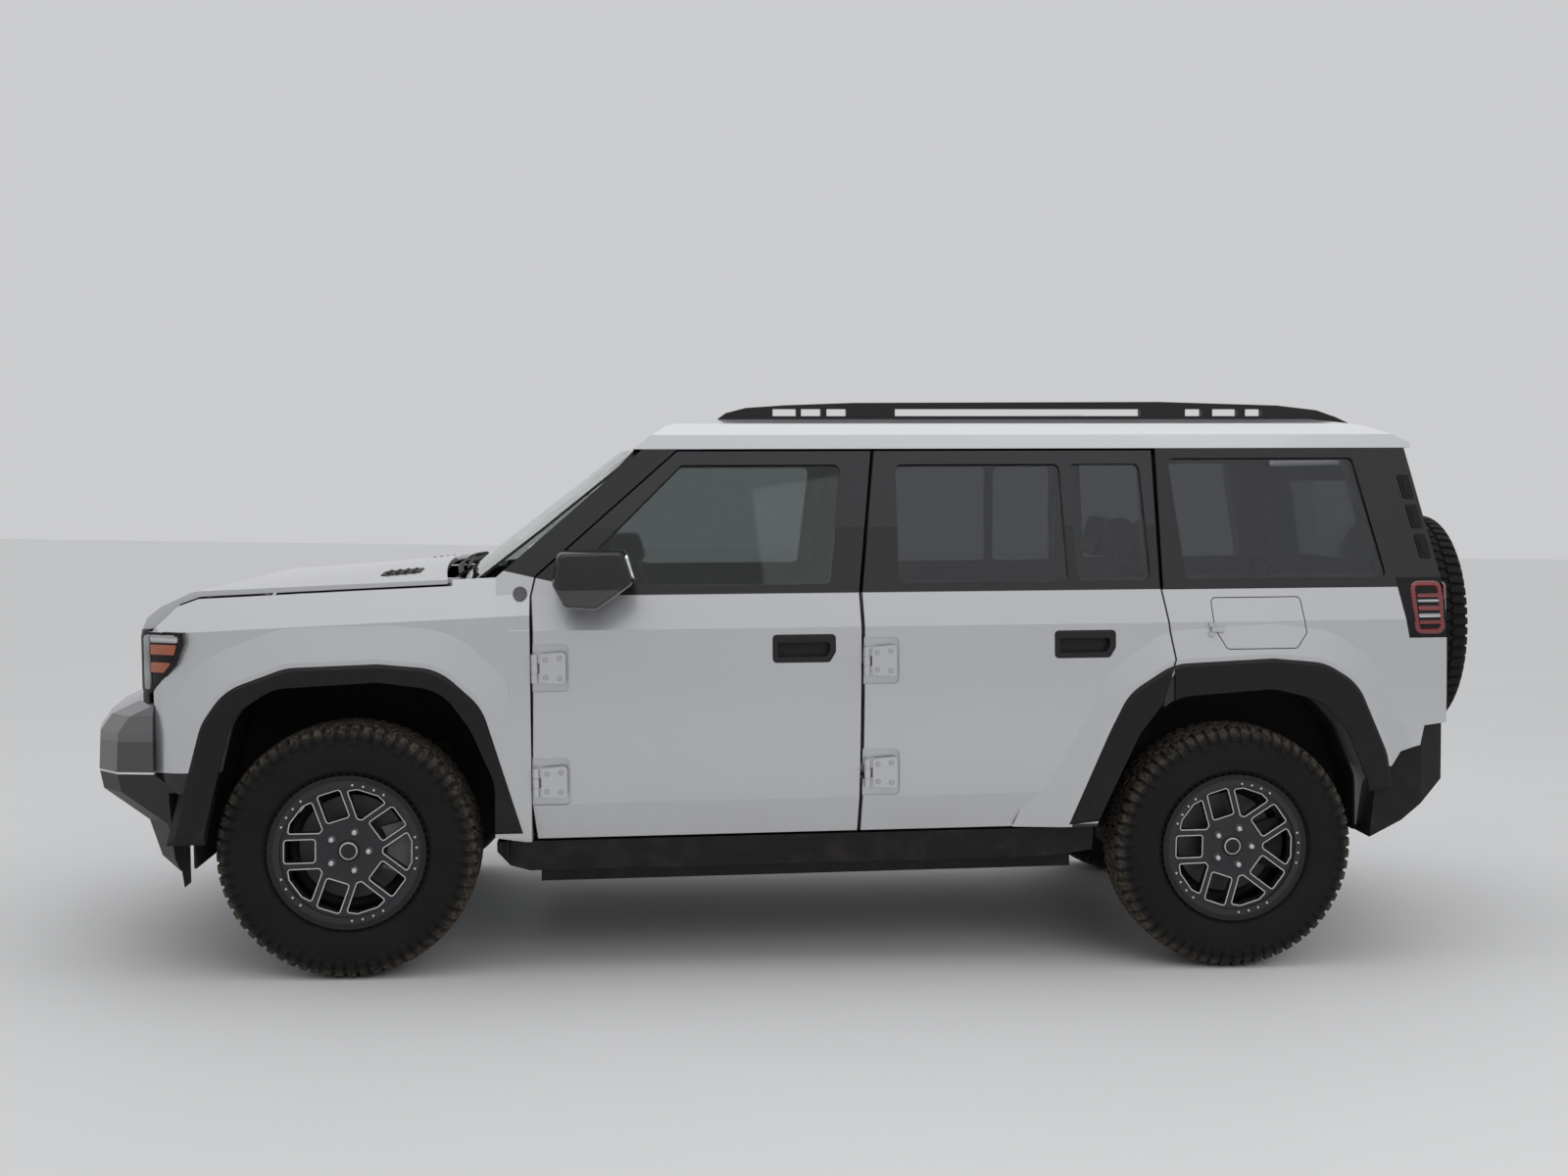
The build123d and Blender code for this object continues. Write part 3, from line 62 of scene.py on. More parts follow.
class Shade:
    """One output of a material's nodes. Sums, products and comparisons of it are Math nodes."""

    def __init__(self, tree, socket=None):
        self.tree = tree
        self.socket = socket

    def add(self, kind, links=(), out=0, **settings):
        """Any other node: its settings first, then the values or links of its inputs."""
        node = self.tree.nodes.new("ShaderNode" + kind)
        for name, value in settings.items():
            setattr(node, name, value)
        for key, value in dict(links).items():
            if isinstance(value, Shade):
                self.tree.links.new(value.socket, node.inputs[key])
            else:
                node.inputs[key].default_value = value
        return Shade(self.tree, node.outputs[out])

    def math(self, operation, *values):
        return self.add("Math", dict(enumerate(values)), operation=operation)

    def __rsub__(self, other):
        return self.math("SUBTRACT", other, self)

    def __abs__(self):
        return self.math("ABSOLUTE", self)

    def most(self, other):
        """The larger of this and the other."""
        return self.math("MAXIMUM", self, other)

    def wave(self):
        """Half of one plus its sine, from 0 to 1."""
        return self.math("SINE", self) * 0.5 + 0.5

    def mix(self, a, b):
        """Colour a where this is 0 and colour b where it is 1."""
        return self.add("Mix", {0: self, 6: a, 7: b}, out=2, data_type="RGBA")

    def noise(self, scale, detail=3.0, rough=0.5):
        links = {"Vector": self, "Scale": scale, "Detail": detail, "Roughness": rough}
        return self.add("TexNoise", links)

    def step(self, low, high):
        """0 below low, 1 above high, smooth between."""
        return self.add("MapRange", {"Value": self, 1: low, 2: high}, interpolation_type="SMOOTHSTEP")

    def parts(self):
        return [self.add("SeparateXYZ", {"Vector": self}, out=k) for k in range(3)]


for word, operation in {
    "add": "ADD", "radd": "ADD", "mul": "MULTIPLY", "rmul": "MULTIPLY",
    "sub": "SUBTRACT", "gt": "GREATER_THAN", "lt": "LESS_THAN",
}.items():
    setattr(Shade, f"__{word}__", lambda a, b, operation=operation: a.math(operation, a, b))


class Finish:
    """A material with one main shader. place is the piece's own coordinates."""

    def __init__(self, name, colour, roughness, metallic=0.0, **more):
        self.material = bpy.data.materials.new(name)
        self.material.use_nodes = True
        self.tree = self.material.node_tree
        self.shader = self.tree.nodes["Principled BSDF"]
        self.place = Shade(self.tree).add("TexCoord", out="Object")
        self.set("Base Color", colour)
        self.set("Roughness", roughness)
        self.set("Metallic", metallic)
        for key, value in more.items():
            self.set(key.replace("_", " "), value)

    def set(self, key, value):
        if isinstance(value, Shade):
            self.tree.links.new(value.socket, self.shader.inputs[key])
        else:
            self.shader.inputs[key].default_value = value

    def bump(self, height, distance):
        self.set("Normal", self.place.add("Bump", {"Height": height, "Distance": distance, "Strength": 1.0}))

    def on(self, *names):
        for name in names:
            mesh = nodes[name].data
            mesh.materials.clear()
            mesh.materials.append(self.material)


def level_place(place):
    """Distance forward, side and height as the body is drawn level, x from mid-wheelbase."""
    x, y, z = place.parts()
    forward = x - MIDDLE
    c, s = math.cos(LEAN), math.sin(LEAN)
    return forward * c - z * s, y, forward * s + z * c


def black_corners(forward, height, turned_x):
    """1 on what is black below the belt: the wedge and seam between the rear flares, the strip at
    their feet, the rear door's arch edge and the corner ahead of the front flare."""
    wedge = (height + (forward + 1.2635) * 0.984 < 0.995) * (forward > -1.246) * (forward < -1.16)
    seam = (forward > -1.262) * (forward < -1.24) * (height < 0.978)
    foot = (forward < -0.886) * (forward > -1.02) * (height < 0.474)
    arch = (turned_x < -0.35) * (forward < -0.88) * (forward > -1.262) * (height < 0.965)
    ahead = (forward > 1.80) * (height < 0.7035)
    return wedge + seam + foot + arch + ahead > 0.5


def panel_paint(name, belt=None, inner=0.0, corners=False, lined=(0, 0, 0)):
    """Silver metallic with flakes; black above the belt line and on the black corners, dark lining inside
    |y| = inner, in the charge pocket and on faces turned towards lined, whose side share points outwards. On
    the roof's underside the dark lining is painted shade for the shaded cabin."""
    paint = Finish(name, BRIGHT_FLAKE, 0.34, 0.3, Coat_Weight=1.0, Coat_Roughness=0.03)
    place = paint.place
    flake = place.noise(2600.0, 1.0)
    cloud = place.noise(3.0, 2.0)
    forward, side, height = level_place(place)
    turned_x, turned_y, turned_z = place.add("TexCoord", out="Normal").parts()
    film = place.noise(4.0, 6.0, 0.6).step(0.35, 0.8)
    low = (1 - height.step(0.36, 0.72)) * (0.25 + film * 0.75)
    colour = flake.step(0.35, 0.7).mix(DULL_FLAKE, BRIGHT_FLAKE)
    colour = (low * 0.16).mix(colour, DUST)
    rough = 0.26 + flake * 0.12 + low * 0.2
    metal = 0.72 + cloud * 0.1
    coat = 1 - low * 0.5
    masks = []
    if belt:
        line = height - (belt + (forward - BELT_BEND).most(0.0) * BELT_RISE)
        masks.append(line.step(-0.0015, 0.0015))
    if corners:
        masks.append(black_corners(forward, height, turned_x))
    if masks:
        black = masks[0].most(masks[-1])
        colour = black.mix(colour, GLOSS_BLACK)
        rough = rough + black * (0.16 - rough)
        metal = metal * (1 - black)
        coat = coat * (1 - black)
    turned_in = turned_x * lined[0] + turned_y * side * lined[1] + turned_z * lined[2]
    pocket = (forward < -1.30) * (forward > -1.80) * (height > 1.0)
    inside = (abs(side) < inner * (1 + pocket * POCKET_SHARE)).most(turned_in > 0.4)
    grain = place.noise(700.0, 2.0)
    paint.set("Base Color", inside.mix(colour, LINING))
    paint.set("Roughness", rough + inside * (0.5 + grain * 0.2 - rough))
    paint.set("Metallic", metal * (1 - inside))
    paint.set("Coat Weight", coat * (1 - inside))
    return paint


silver = panel_paint("silver_paint")
silver.on("hood", "charge_flap", "hinges")
# Painted shade: the roof's underside takes the dark lining colour, so the cabin seen through the glass stays
# dark.
panel_paint("silver_paint_roof", lined=(0, 0, -1)).on("roof_panel")
panel_paint("silver_paint_wing", None, WING_LINING, True, (0, -1, 0)).on("fenders", "quarter_panels")
panel_paint("silver_paint_door", BELT, DOOR_LINING, True).on(
    "front_door_left", "front_door_right", "rear_door_left", "rear_door_right"
)
panel_paint("silver_paint_gate", GATE_BELT, lined=(1, 0, 0)).on("tailgate")
panel_paint("silver_paint_frame", BELT, 0.0, True, (0, -1, 0)).on("body_sides")


# Black mouldings
# Flares, sills, bumpers, liners, rails and cowl, injection moulded in grained black plastic and
# clipped to the body. The front bumper's upper skin is grey, over a black lower half.
def moulded(name, colour, rough, grain=900.0, depth=0.00025, dirt=0.07):
    """Grained plastic: fine bumps, slightly uneven gloss, dust low down."""
    plastic = Finish(name, colour, rough, Specular_IOR_Level=0.22)
    place = plastic.place
    pebble = place.noise(grain, 3.0)
    height = level_place(place)[2]
    low = (1 - height.step(0.3, 0.8)) * place.noise(14.0, 5.0).step(0.4, 0.8) * dirt
    plastic.set("Base Color", low.mix(colour, DUST))
    plastic.set("Roughness", rough + pebble * 0.12 + low * 0.3)
    plastic.bump(pebble, depth)
    return plastic


moulding = moulded("flare_plastic", grey(0.009, 0.0095), 0.44)
moulding.on("flares", "rear_door_flare_left", "rear_door_flare_right", "sills")
moulding.on("rear_bumper", "nose_panel", "cowl")
moulded("liner_plastic", grey(0.012), 0.8, 500.0).on("wheelhouses")
moulded("rail_plastic", grey(0.018, 0.019), 0.36).on("roof_rails")
lamp_shell = moulded("lamp_shell", grey(0.008, 0.009), 0.1, 300.0, 0.00002, 0)
lamp_shell.on("headlamps", "tail_lamps")
cabin = moulded("cabin_plastic", grey(0.020, 0.021), 0.6, 800.0)
cabin.on("dashboard", "steering_wheel")
moulded("carrier_paint", grey(0.02), 0.5).on("spare_carrier")
under_coat = moulded("under_coat", grey(0.03, 0.031), 0.75, 400.0, 0.0006)
under_coat.on("floor_pan", "front_rails", "battery_pack", "subframes")
cast_metal = moulded("cast_metal", grey(0.22), 0.55, 600.0, 0.0004)
cast_metal.on("front_knuckle_left", "front_knuckle_right", "drive_units", "drive_shafts")

GREY_SKIN, DARK_SKIN, BLACK_SKIN = grey(0.085, 0.088), grey(0.034, 0.035), grey(0.009, 0.0095)
bumper_skin = Finish("bumper_skin", GREY_SKIN, 0.4, Coat_Roughness=0.12)
pebble = bumper_skin.place.noise(1400.0, 2.0)
bumper_height = level_place(bumper_skin.place)[2]
lower = 1 - bumper_height.step(0.7035, 0.7065)
# Painted highlight: a thin light grey line along the crease at the top of the black lower half, where the
# crease catches the light.
line = bumper_height.step(0.6985, 0.6995) * lower
skin = (1 - bumper_height.step(0.795, 0.805)).mix(GREY_SKIN, DARK_SKIN)
skin = lower.mix(skin, BLACK_SKIN)
bumper_skin.set("Base Color", line.mix(skin, (0.62, 0.63, 0.64, 1)))
bumper_skin.set("Roughness", 0.32 + pebble * 0.1 + lower * 0.15)
bumper_skin.set("Coat Weight", 0.8 - lower * 0.7)
bumper_skin.bump(pebble, 0.00012)
bumper_skin.on("front_bumper")


# Window glass
# Curved safety glass bonded or held in the frames: the front side panes and windscreen are lightly
# tinted, the panes behind are dark privacy glass.
SIDE_TINT = (0.31, 0.34, 0.34, 1)
PRIVACY = (0.20, 0.21, 0.225, 1)
CLEAR = (0.80, 0.86, 0.85, 1)


def pane(name, tint):
    """Tinted glass that lets light through, its gloss varied by faint smears."""
    glass = Finish(name, tint, 0.01, Transmission_Weight=1.0, IOR=1.45)
    glass.set("Roughness", 0.008 + glass.place.noise(5.0, 4.0) * 0.012)
    return glass


pane("clear_glass", SIDE_TINT).on("front_glass_left", "front_glass_right")
pane("privacy_glass", PRIVACY).on("rear_glass_left", "rear_glass_right", "tailgate_glass")
fixed = pane("fixed_glass", CLEAR)
fixed.set("Base Color", (level_place(fixed.place)[0] > 0.0).mix(PRIVACY, CLEAR))
fixed.on("fixed_glass")


# Tyres
# All-terrain radial tyres on the four wheels and the spare: black rubber moulded with lugs that wrap
# onto the shoulders, seated on the rims by their beads.
AXLE, HALF_TRACK, HUB_HEIGHT = 1.435, 0.82, 0.405
SPARE_X, SPARE_HEIGHT = -2.34956, 1.054
PITCHES, STEPS = 64, 10
TREAD_END, SHOULDER_END = 0.112, 0.170
GROOVE_DEPTH, BLOCK_DEPTH, WALL_SINK = 0.010, 0.008, 0.0045
TREAD_PROFILE = (
    # radius, half width at the lug tops
    (0.4050, 0.000), (0.4046, 0.040), (0.4026, 0.080), (0.3980, 0.106), (0.3880, 0.121),
    (0.3740, 0.130), (0.3560, 0.1345), (0.3300, 0.1362), (0.3000, 0.1355), (0.2720, 0.130),
    (0.2540, 0.121), (0.2450, 0.113), (0.2360, 0.108), (0.2230, 0.106),
)
SIDES = ("left", "right")
# Rows of end, side, name and body.
WHEEL_SPOTS = [
    (end, side, f"{end}_{side}", f"wheel_{end}_{side}") for end in ("front", "rear") for side in SIDES
]
WHEEL_SPOTS.append(("spare", "back", "spare", "tailgate"))


def smooth_line(points, count):
    """A Catmull-Rom curve through the points, count samples spread evenly over its spans."""
    points = np.asarray(points, float)
    ends = np.vstack([2 * points[:1] - points[1:2], points, 2 * points[-1:] - points[-2:-1]])
    t = np.linspace(0, len(points) - 1, count)
    span = np.minimum(t.astype(int), len(points) - 2)
    f = (t - span)[:, None]
    a, b, c, d = (ends[span + n] for n in range(4))
    return b + 0.5 * f * (c - a + f * (2 * a - 5 * b + 4 * c - d + f * (3 * (b - c) + d - a)))


def stand(points):
    """Level body coordinates (forward of mid-wheelbase, left, up) to the part frame."""
    x, y, z = np.moveaxis(np.asarray(points, float), -1, 0)
    return np.stack(
        [x * math.cos(LEAN) + z * math.sin(LEAN) + MIDDLE, y, z * math.cos(LEAN) - x * math.sin(LEAN)], -1
    )


def at_wheel(points, end, side):
    """Wheel coordinates (forward, outward, up) to the part frame; the spare faces back."""
    x, y, z = np.moveaxis(points, -1, 0)
    if end == "spare":
        return stand(np.stack([SPARE_X - y, x, SPARE_HEIGHT + z], -1))
    way = 1 if side == "left" else -1
    middle = MIDDLE + (AXLE if end == "front" else -AXLE)
    return np.stack([middle + x, way * (HALF_TRACK + y), HUB_HEIGHT + z], -1)


class Piece:
    """A mesh built up from grids of points, each an array of rows by columns by 3."""

    def __init__(self):
        self.points, self.faces, self.count = [], [], 0

    def grid(self, points, around=False, along=False):
        """Joins neighbours by quads; around closes each row, along joins the last row to the first."""
        rows, columns = points.shape[:2]
        number = np.arange(rows * columns).reshape(rows, columns) + self.count
        if around:
            number = np.hstack([number, number[:, :1]])
        if along:
            number = np.vstack([number, number[:1]])
        corners = (number[:-1, :-1], number[1:, :-1], number[1:, 1:], number[:-1, 1:])
        self.faces.append(np.stack(corners, -1).reshape(-1, 4))
        self.points.append(points.reshape(-1, 3))
        self.count += rows * columns
        return self

    def tube(self, sections):
        """Closed rows joined in a run, each end drawn in to the middle of its last row."""
        middles = sections.mean(1, keepdims=True) + 0 * sections
        return self.grid(np.concatenate([middles[:1], sections, middles[-1:]]), around=True)

    def mesh(self, name):
        """The mesh: doubled points merged and faces turned out."""
        mesh = bpy.data.meshes.new(name)
        mesh.from_pydata(np.concatenate(self.points), [], np.concatenate(self.faces).tolist())
        work = bmesh.new()
        work.from_mesh(mesh)
        bmesh.ops.remove_doubles(work, verts=work.verts, dist=1e-6)
        bmesh.ops.dissolve_degenerate(work, edges=work.edges, dist=1e-7)
        bmesh.ops.recalc_face_normals(work, faces=work.faces)
        work.to_mesh(mesh)
        work.free()
        mesh.polygons.foreach_set("use_smooth", np.ones(len(mesh.polygons), bool))
        return mesh

    def make(self, name, finish, body, slot, crease=0.7):
        """The finished object, its edges over crease sharp."""
        mesh = self.mesh(name)
        mesh.set_sharp_from_angle(angle=crease)
        return placed(mesh, finish, body)


def placed(mesh, finish, body):
    """An object for the mesh, with its finish, riding on its body."""
    mesh.materials.append(finish.material)
    made = bpy.data.objects.new(mesh.name, mesh)
    bpy.context.scene.collection.objects.link(made)
    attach(made, body)
    return made


def tread_sink(turn, side, radius):
    """Depth below the lug tops in metres. turn counts pitches, side is the distance off the middle.
    Lateral grooves cut each pitch, shifted by half a pitch between the two shoulders; two pairs of
    zigzag grooves run round; the sidewall lies lower, its edge scalloped by long and short lugs."""
    off = np.abs(side)
    shifted = turn + np.where(side > 0, 0.0, 0.5)
    part = shifted - np.floor(shifted)
    zigzag = 2 * np.abs(2 * part - 1) - 1
    shoulder = (part < 0.25) & (off > 0.060)
    slanted = turn + 0.3 * np.sign(side) + (off - 0.014) * 8.0
    block = (slanted - np.floor(slanted) < 0.2) & (off > 0.014) & (off < 0.060)
    middle = (0.5 * turn - np.floor(0.5 * turn) < 0.1) & (off < 0.012)
    outer_run = np.abs(off - 0.058 - 0.004 * zigzag) < 0.0045
    inner_run = np.abs(off - 0.015 - 0.003 * zigzag) < 0.003
    sink = np.where(block | middle | inner_run, BLOCK_DEPTH, 0.0)
    sink = np.where(shoulder | outer_run, GROOVE_DEPTH, sink)
    lug_end = np.where(np.floor(shifted) % 2 < 0.5, 0.342, 0.358)
    wall = WALL_SINK - 0.0014 * np.exp(-(((radius - 0.330) / 0.003) ** 2))
    wall = wall - 0.003 * np.exp(-(((radius - 0.262) / 0.006) ** 2))
    on_wall = off > 0.112
    sink = np.where(on_wall & shoulder, np.interp(radius, (0.345, 0.394), (WALL_SINK, GROOVE_DEPTH)), sink)
    return np.where(on_wall & (radius < lug_end), wall, sink)


def tyre_grid():
    """A profile closed through the beads and spun round, its points moved in along the normal."""
    fine = smooth_line(TREAD_PROFILE, 800)
    length = np.concatenate([[0], np.cumsum(np.hypot(*np.diff(fine, axis=0).T))])
    tread = np.arange(0, TREAD_END, 0.0036)
    shoulder = np.arange(TREAD_END, SHOULDER_END, 0.0045)
    stops = np.concatenate([tread, shoulder, np.linspace(SHOULDER_END, length[-1], 16)])
    half = np.stack([np.interp(stops, length, fine[:, k]) for k in range(2)], -1)
    line = np.concatenate([half[:0:-1] * (1, -1), half])
    slope = np.gradient(line, axis=0)
    normal = np.stack([slope[:, 1], -slope[:, 0]], -1)
    normal /= np.linalg.norm(normal, axis=1, keepdims=True)
    turn = np.arange(PITCHES * STEPS)[None] / STEPS
    radius, side = line[:, :1], line[:, 1:]
    sink = tread_sink(turn + 0 * side, side + 0 * turn, radius + 0 * turn)
    radius = radius - sink * normal[:, :1]
    side = side - sink * normal[:, 1:]
    angle = turn * 2 * math.pi / PITCHES
    return np.stack([radius * np.cos(angle), side, radius * np.sin(angle)], -1)


def wheel_radius(place, spare):
    """Distance from the wheel's own axis: the root of the squares of reach and rise."""
    x, y, z = place.parts()
    reach = y if spare else abs(x - MIDDLE) - AXLE
    rise = z - (SPARE_HEIGHT if spare else HUB_HEIGHT)
    square = reach * reach + rise * rise
    return square.math("SQRT", square)


def rubber(name, spare):
    """Black rubber, brown with dust on the road tyres' lugs, greyer where it has weathered."""
    finish = Finish(name, grey(0.02), 0.8, Specular_IOR_Level=0.16)
    place = finish.place
    speck = place.noise(60.0, 5.0, 0.65)
    rough = 0.62 + speck * 0.2
    colour = place.noise(8.0, 3.0).mix(grey(0.006, 0.0065), (0.012, 0.0118, 0.0115, 1))
    if not spare:
        tread = wheel_radius(place, spare).step(0.362, 0.40) * speck.step(0.3, 0.7)
        colour = (tread * 0.5).mix(colour, (0.20, 0.165, 0.125, 1))
        rough = rough + tread * 0.1
    finish.set("Base Color", colour)
    finish.set("Roughness", rough)
    finish.bump(place.noise(900.0, 3.0), 0.0003)
    return finish


road_rubber = rubber("tyre_rubber", False)
spare_rubber = rubber("spare_rubber", True)
carcass = tyre_grid()
for end, side, name, body in WHEEL_SPOTS:
    finish = spare_rubber if end == "spare" else road_rubber
    tyre = Piece().grid(at_wheel(carcass, end, side), around=True, along=True)
    made = tyre.make(f"tread_{name}", finish, body, "tyre", 0.5)
    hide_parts("spare_tyre" if end == "spare" else f"tyre_{name}")


# Wheel faces
# Cast alloy wheels painted dark grey, their spoke edges bevelled, the bevels coloured bright as a painted
# highlight, with a brake disc behind, a black hub cap, five domed nuts and short pegs round the rim.
def oblong(x0, x1, z0, z1):
    """The four corners of an upright rectangle."""
    return ((x0, z0), (x1, z0), (x1, z1), (x0, z1))


SPOKES = 5
WINDOW = oblong(0.103, 0.195, -0.036, 0.036)
GAP = ((0.106, -0.007), (0.182, -0.061), (0.196, -0.033), (0.196, 0.033), (0.182, 0.061), (0.106, 0.007))
BEVEL_LEVELS = ((-0.0004, -0.004), (-0.0004, 0.0006), (0.0026, 0.0008), (0.0034, -0.001))
NUT_CIRCLE, PAD_FACE = 0.0635, 0.084
PEG_CIRCLE, PEG_FACE = 0.2155, 0.1215
DISH_START, DISH_SLOPE = 0.092, 0.020 / 0.119
# Profiles of radius and height: nut and peg off their seats, cap and ring off the wheel's middle.
NUT = (
    (0, 0.0245), (0.006, 0.024), (0.0095, 0.021), (0.0112, 0.016),
    (0.012, 0.006), (0.0135, 0.0), (0.0135, -0.004),
)
PEG = ((0, 0.006), (0.0035, 0.0055), (0.0045, 0.004), (0.0048, -0.004))
HUB_CAP = (
    (0, 0.0945), (0.012, 0.094), (0.022, 0.092), (0.028, 0.089),
    (0.033, 0.0865), (0.0345, 0.082), (0.0345, 0.074),
)
CAP_RING = ((0.0235, 0.0915), (0.0245, 0.0928), (0.0275, 0.0915), (0.0282, 0.089))


def rounded(points, radius, grow=0.0, count=6):
    """A convex outline, run anticlockwise, with its corners turned to arcs and moved out by grow.
    Each arc's centre is the corner moved in by the radius along both edges' normals."""
    corners = np.asarray(points, float)
    along = np.roll(corners, -1, 0) - corners
    if (corners[:, 0] * along[:, 1] - corners[:, 1] * along[:, 0]).sum() < 0:
        return rounded(corners[::-1], radius, grow, count)
    along /= np.linalg.norm(along, axis=1, keepdims=True)
    leave = np.stack([along[:, 1], -along[:, 0]], -1)
    arrive = np.roll(leave, 1, 0)
    middle = corners - radius * (leave + arrive) / (1 + (leave * arrive).sum(1, keepdims=True))
    start = np.arctan2(arrive[:, 1], arrive[:, 0])
    turn = np.arctan2(leave[:, 1], leave[:, 0]) - start
    turn = (turn + math.pi) % (2 * math.pi) - math.pi
    angle = start[:, None] + turn[:, None] * np.linspace(0, 1, count)
    arc = np.stack([np.cos(angle), np.sin(angle)], -1)
    return (middle[:, None] + (radius + grow) * arc).reshape(-1, 2)


def spun(profile, sides):
    """A profile of radius and height spun about the wheel's axis."""
    profile = np.asarray(profile, float)
    angle = np.arange(sides) * 2 * math.pi / sides
    radius, height = profile[:, :1], profile[:, 1:]
    return np.stack([radius * np.cos(angle), height + 0 * angle, radius * np.sin(angle)], -1)


def turned(points, angle):
    """Points turned about the wheel's axis."""
    x, y, z = np.moveaxis(points, -1, 0)
    c, s = math.cos(angle), math.sin(angle)
    return np.stack([x * c - z * s, y, x * s + z * c], -1)


def edge_strip(outline, radius):
    """A bevel round an opening, coloured bright as a painted highlight: four offsets of its outline, joined,
    each at its lift above the spoke face, which rises evenly outwards from the middle pad."""
    rows = []
    for grow, lift in BEVEL_LEVELS:
        flat = rounded(outline, radius, grow)
        rise = (np.hypot(flat[:, 0], flat[:, 1]) - DISH_START).clip(0) * DISH_SLOPE
        rows.append(np.stack([flat[:, 0], PAD_FACE + rise + lift, flat[:, 1]], -1))
    return np.stack(rows)


# Bright metal for the nuts, pegs and cap ring; on the spoke bevels the bright colour is a painted highlight.
bright_metal_and_glint = Finish("bright_alloy_and_glint", grey(0.62, 0.63), 0.25, 0.9)
swirl = bright_metal_and_glint.place.noise(220.0, 2.0)
bright_metal_and_glint.set("Roughness", 0.2 + swirl * 0.16)
bright_metal_and_glint.set("Base Color", swirl.mix(grey(0.5, 0.51), grey(0.72, 0.73)))
cap_black = moulded("hub_cap_black", grey(0.014, 0.015), 0.22, 500.0, 0.00005, 0.1)


def alloy(name, spare):
    """Dark grey cast alloy with a black rim lip; behind the road wheels' faces the barrel is coloured near
    black and the brake disc is ringed dark grey iron, both darkened as painted shade inside the wheel."""
    finish = Finish(name, grey(0.05, 0.053), 0.36, 0.55)
    place = finish.place
    speck = place.noise(500.0, 3.0)
    colour = speck.mix(grey(0.024, 0.026), grey(0.042, 0.045))
    rough = 0.3 + speck * 0.14
    radius = wheel_radius(place, spare)
    colour = radius.step(0.224, 0.229).mix(colour, grey(0.016, 0.0165))
    if not spare:
        # Painted shade: behind the face the barrel is coloured near black and the disc's iron is darkened,
        # for the shade inside the wheel.
        barrel_shade = 1 - (abs(place.parts()[1]) - HALF_TRACK).step(0.030, 0.040)
        disc = barrel_shade * (1 - radius.step(0.168, 0.170))
        iron = (radius * 900.0).wave().mix((0.06, 0.058, 0.056, 1), (0.09, 0.087, 0.084, 1))
        colour = barrel_shade.mix(colour, grey(0.012, 0.0125))
        colour = disc.mix(colour, iron)
        rough = rough + disc * 0.1
    finish.set("Base Color", colour)
    finish.set("Roughness", rough)
    finish.bump(speck, 0.0001)
    return finish


road_alloy = alloy("alloy_paint", False)
road_alloy.on("wheel_front_left", "wheel_front_right", "wheel_rear_left", "wheel_rear_right")
alloy("spare_alloy", True).on("spare_wheel")
for end, side, name, body in WHEEL_SPOTS:
    shapes = [spun(CAP_RING, 48)]
    for spoke in range(SPOKES):
        angle = spoke * 2 * math.pi / SPOKES
        half = angle + math.pi / SPOKES
        shapes.append(turned(edge_strip(WINDOW, 0.008), angle))
        shapes.append(turned(edge_strip(GAP, 0.006), half))
        shapes.append(turned(spun(NUT, 12) + (NUT_CIRCLE, PAD_FACE, 0), half))
        for number in range(4):
            lean = half + math.radians(9.0 * (number - 1.5))
            shapes.append(turned(spun(PEG, 8) + (PEG_CIRCLE, PEG_FACE, 0), lean))
    bright = Piece()
    for shape in shapes:
        bright.grid(at_wheel(shape, end, side), around=True)
    bright.make(f"wheel_bright_{name}", bright_metal_and_glint, body, "alloy", 0.6)
    cap = Piece().grid(at_wheel(spun(HUB_CAP, 48), end, side), around=True)
    cap.make(f"hub_cap_{name}", cap_black, body, "alloy", 0.6)


# Headlamps
# A black housing let into each front corner behind a clear cover: a light strip along its top, two
# amber side markers on the flank and square lamp units facing forward, held in a rubber frame.
FRONT_X, REAR_X = 1.42575, -1.44356
LAMP_FRAME = ((0.470, 1.139), (0.470, 1.101), (0.494, 1.039), (0.585, 0.946), (0.618, 0.945), (0.618, 1.139))
LAMP_STRIP = ((0.483, 1.131), (0.486, 1.107), (0.578, 1.107), (0.578, 1.131))
LAMP_UPPER = ((0.488, 1.101), (0.497, 1.070), (0.578, 1.070), (0.578, 1.101))
LAMP_LOWER = ((0.506, 1.046), (0.532, 1.015), (0.578, 1.015), (0.578, 1.046))
LAMP_COVER = oblong(0.582, 0.614, 0.958, 1.131)
LAMP_UNITS = (oblong(0.585, 0.675, 0.985, 1.075), oblong(0.700, 0.790, 0.985, 1.075))
LAMP_BROW = oblong(0.545, 0.820, 1.100, 1.128)
FRAME_LEVELS = ((0.001, -0.004), (0.001, 0.004), (-0.002, 0.006), (-0.011, 0.006), (-0.013, -0.004))


def circle_through(a, b, c):
    """Centre and radius of the circle through three points of a plane."""
    a, b, c = (np.array(point, float) for point in (a, b, c))
    rows = 2 * np.array([b - a, c - a])
    middle = np.linalg.solve(rows, [b @ b - a @ a, c @ c - a @ a])
    return middle, np.linalg.norm(a - middle)


corner_middle, corner_radius = circle_through((0.440, 0.985), (0.566, 0.932), (0.625, 0.850))
nose_middle, nose_radius = circle_through((0.625, 0.850), (0.681, 0.450), (0.700, 0.0))


def on_corner(flat, lift):
    """Distance ahead of the front axle and height, laid on the rounded front corner."""
    angle = np.arccos((flat[:, 0] - corner_middle[0]) / corner_radius)
    ahead, left = corner_middle[:, None] + (corner_radius + lift) * np.stack([np.cos(angle), np.sin(angle)])
    return np.stack([FRONT_X + ahead, left, flat[:, 1]], -1)


def on_nose(flat, lift):
    """Distance to the left and height, laid on the bowed nose."""
    ahead = nose_middle[0] + np.sqrt(nose_radius**2 - (flat[:, 0] - nose_middle[1]) ** 2)
    return np.insert(flat, 0, FRONT_X + ahead + lift, axis=1)


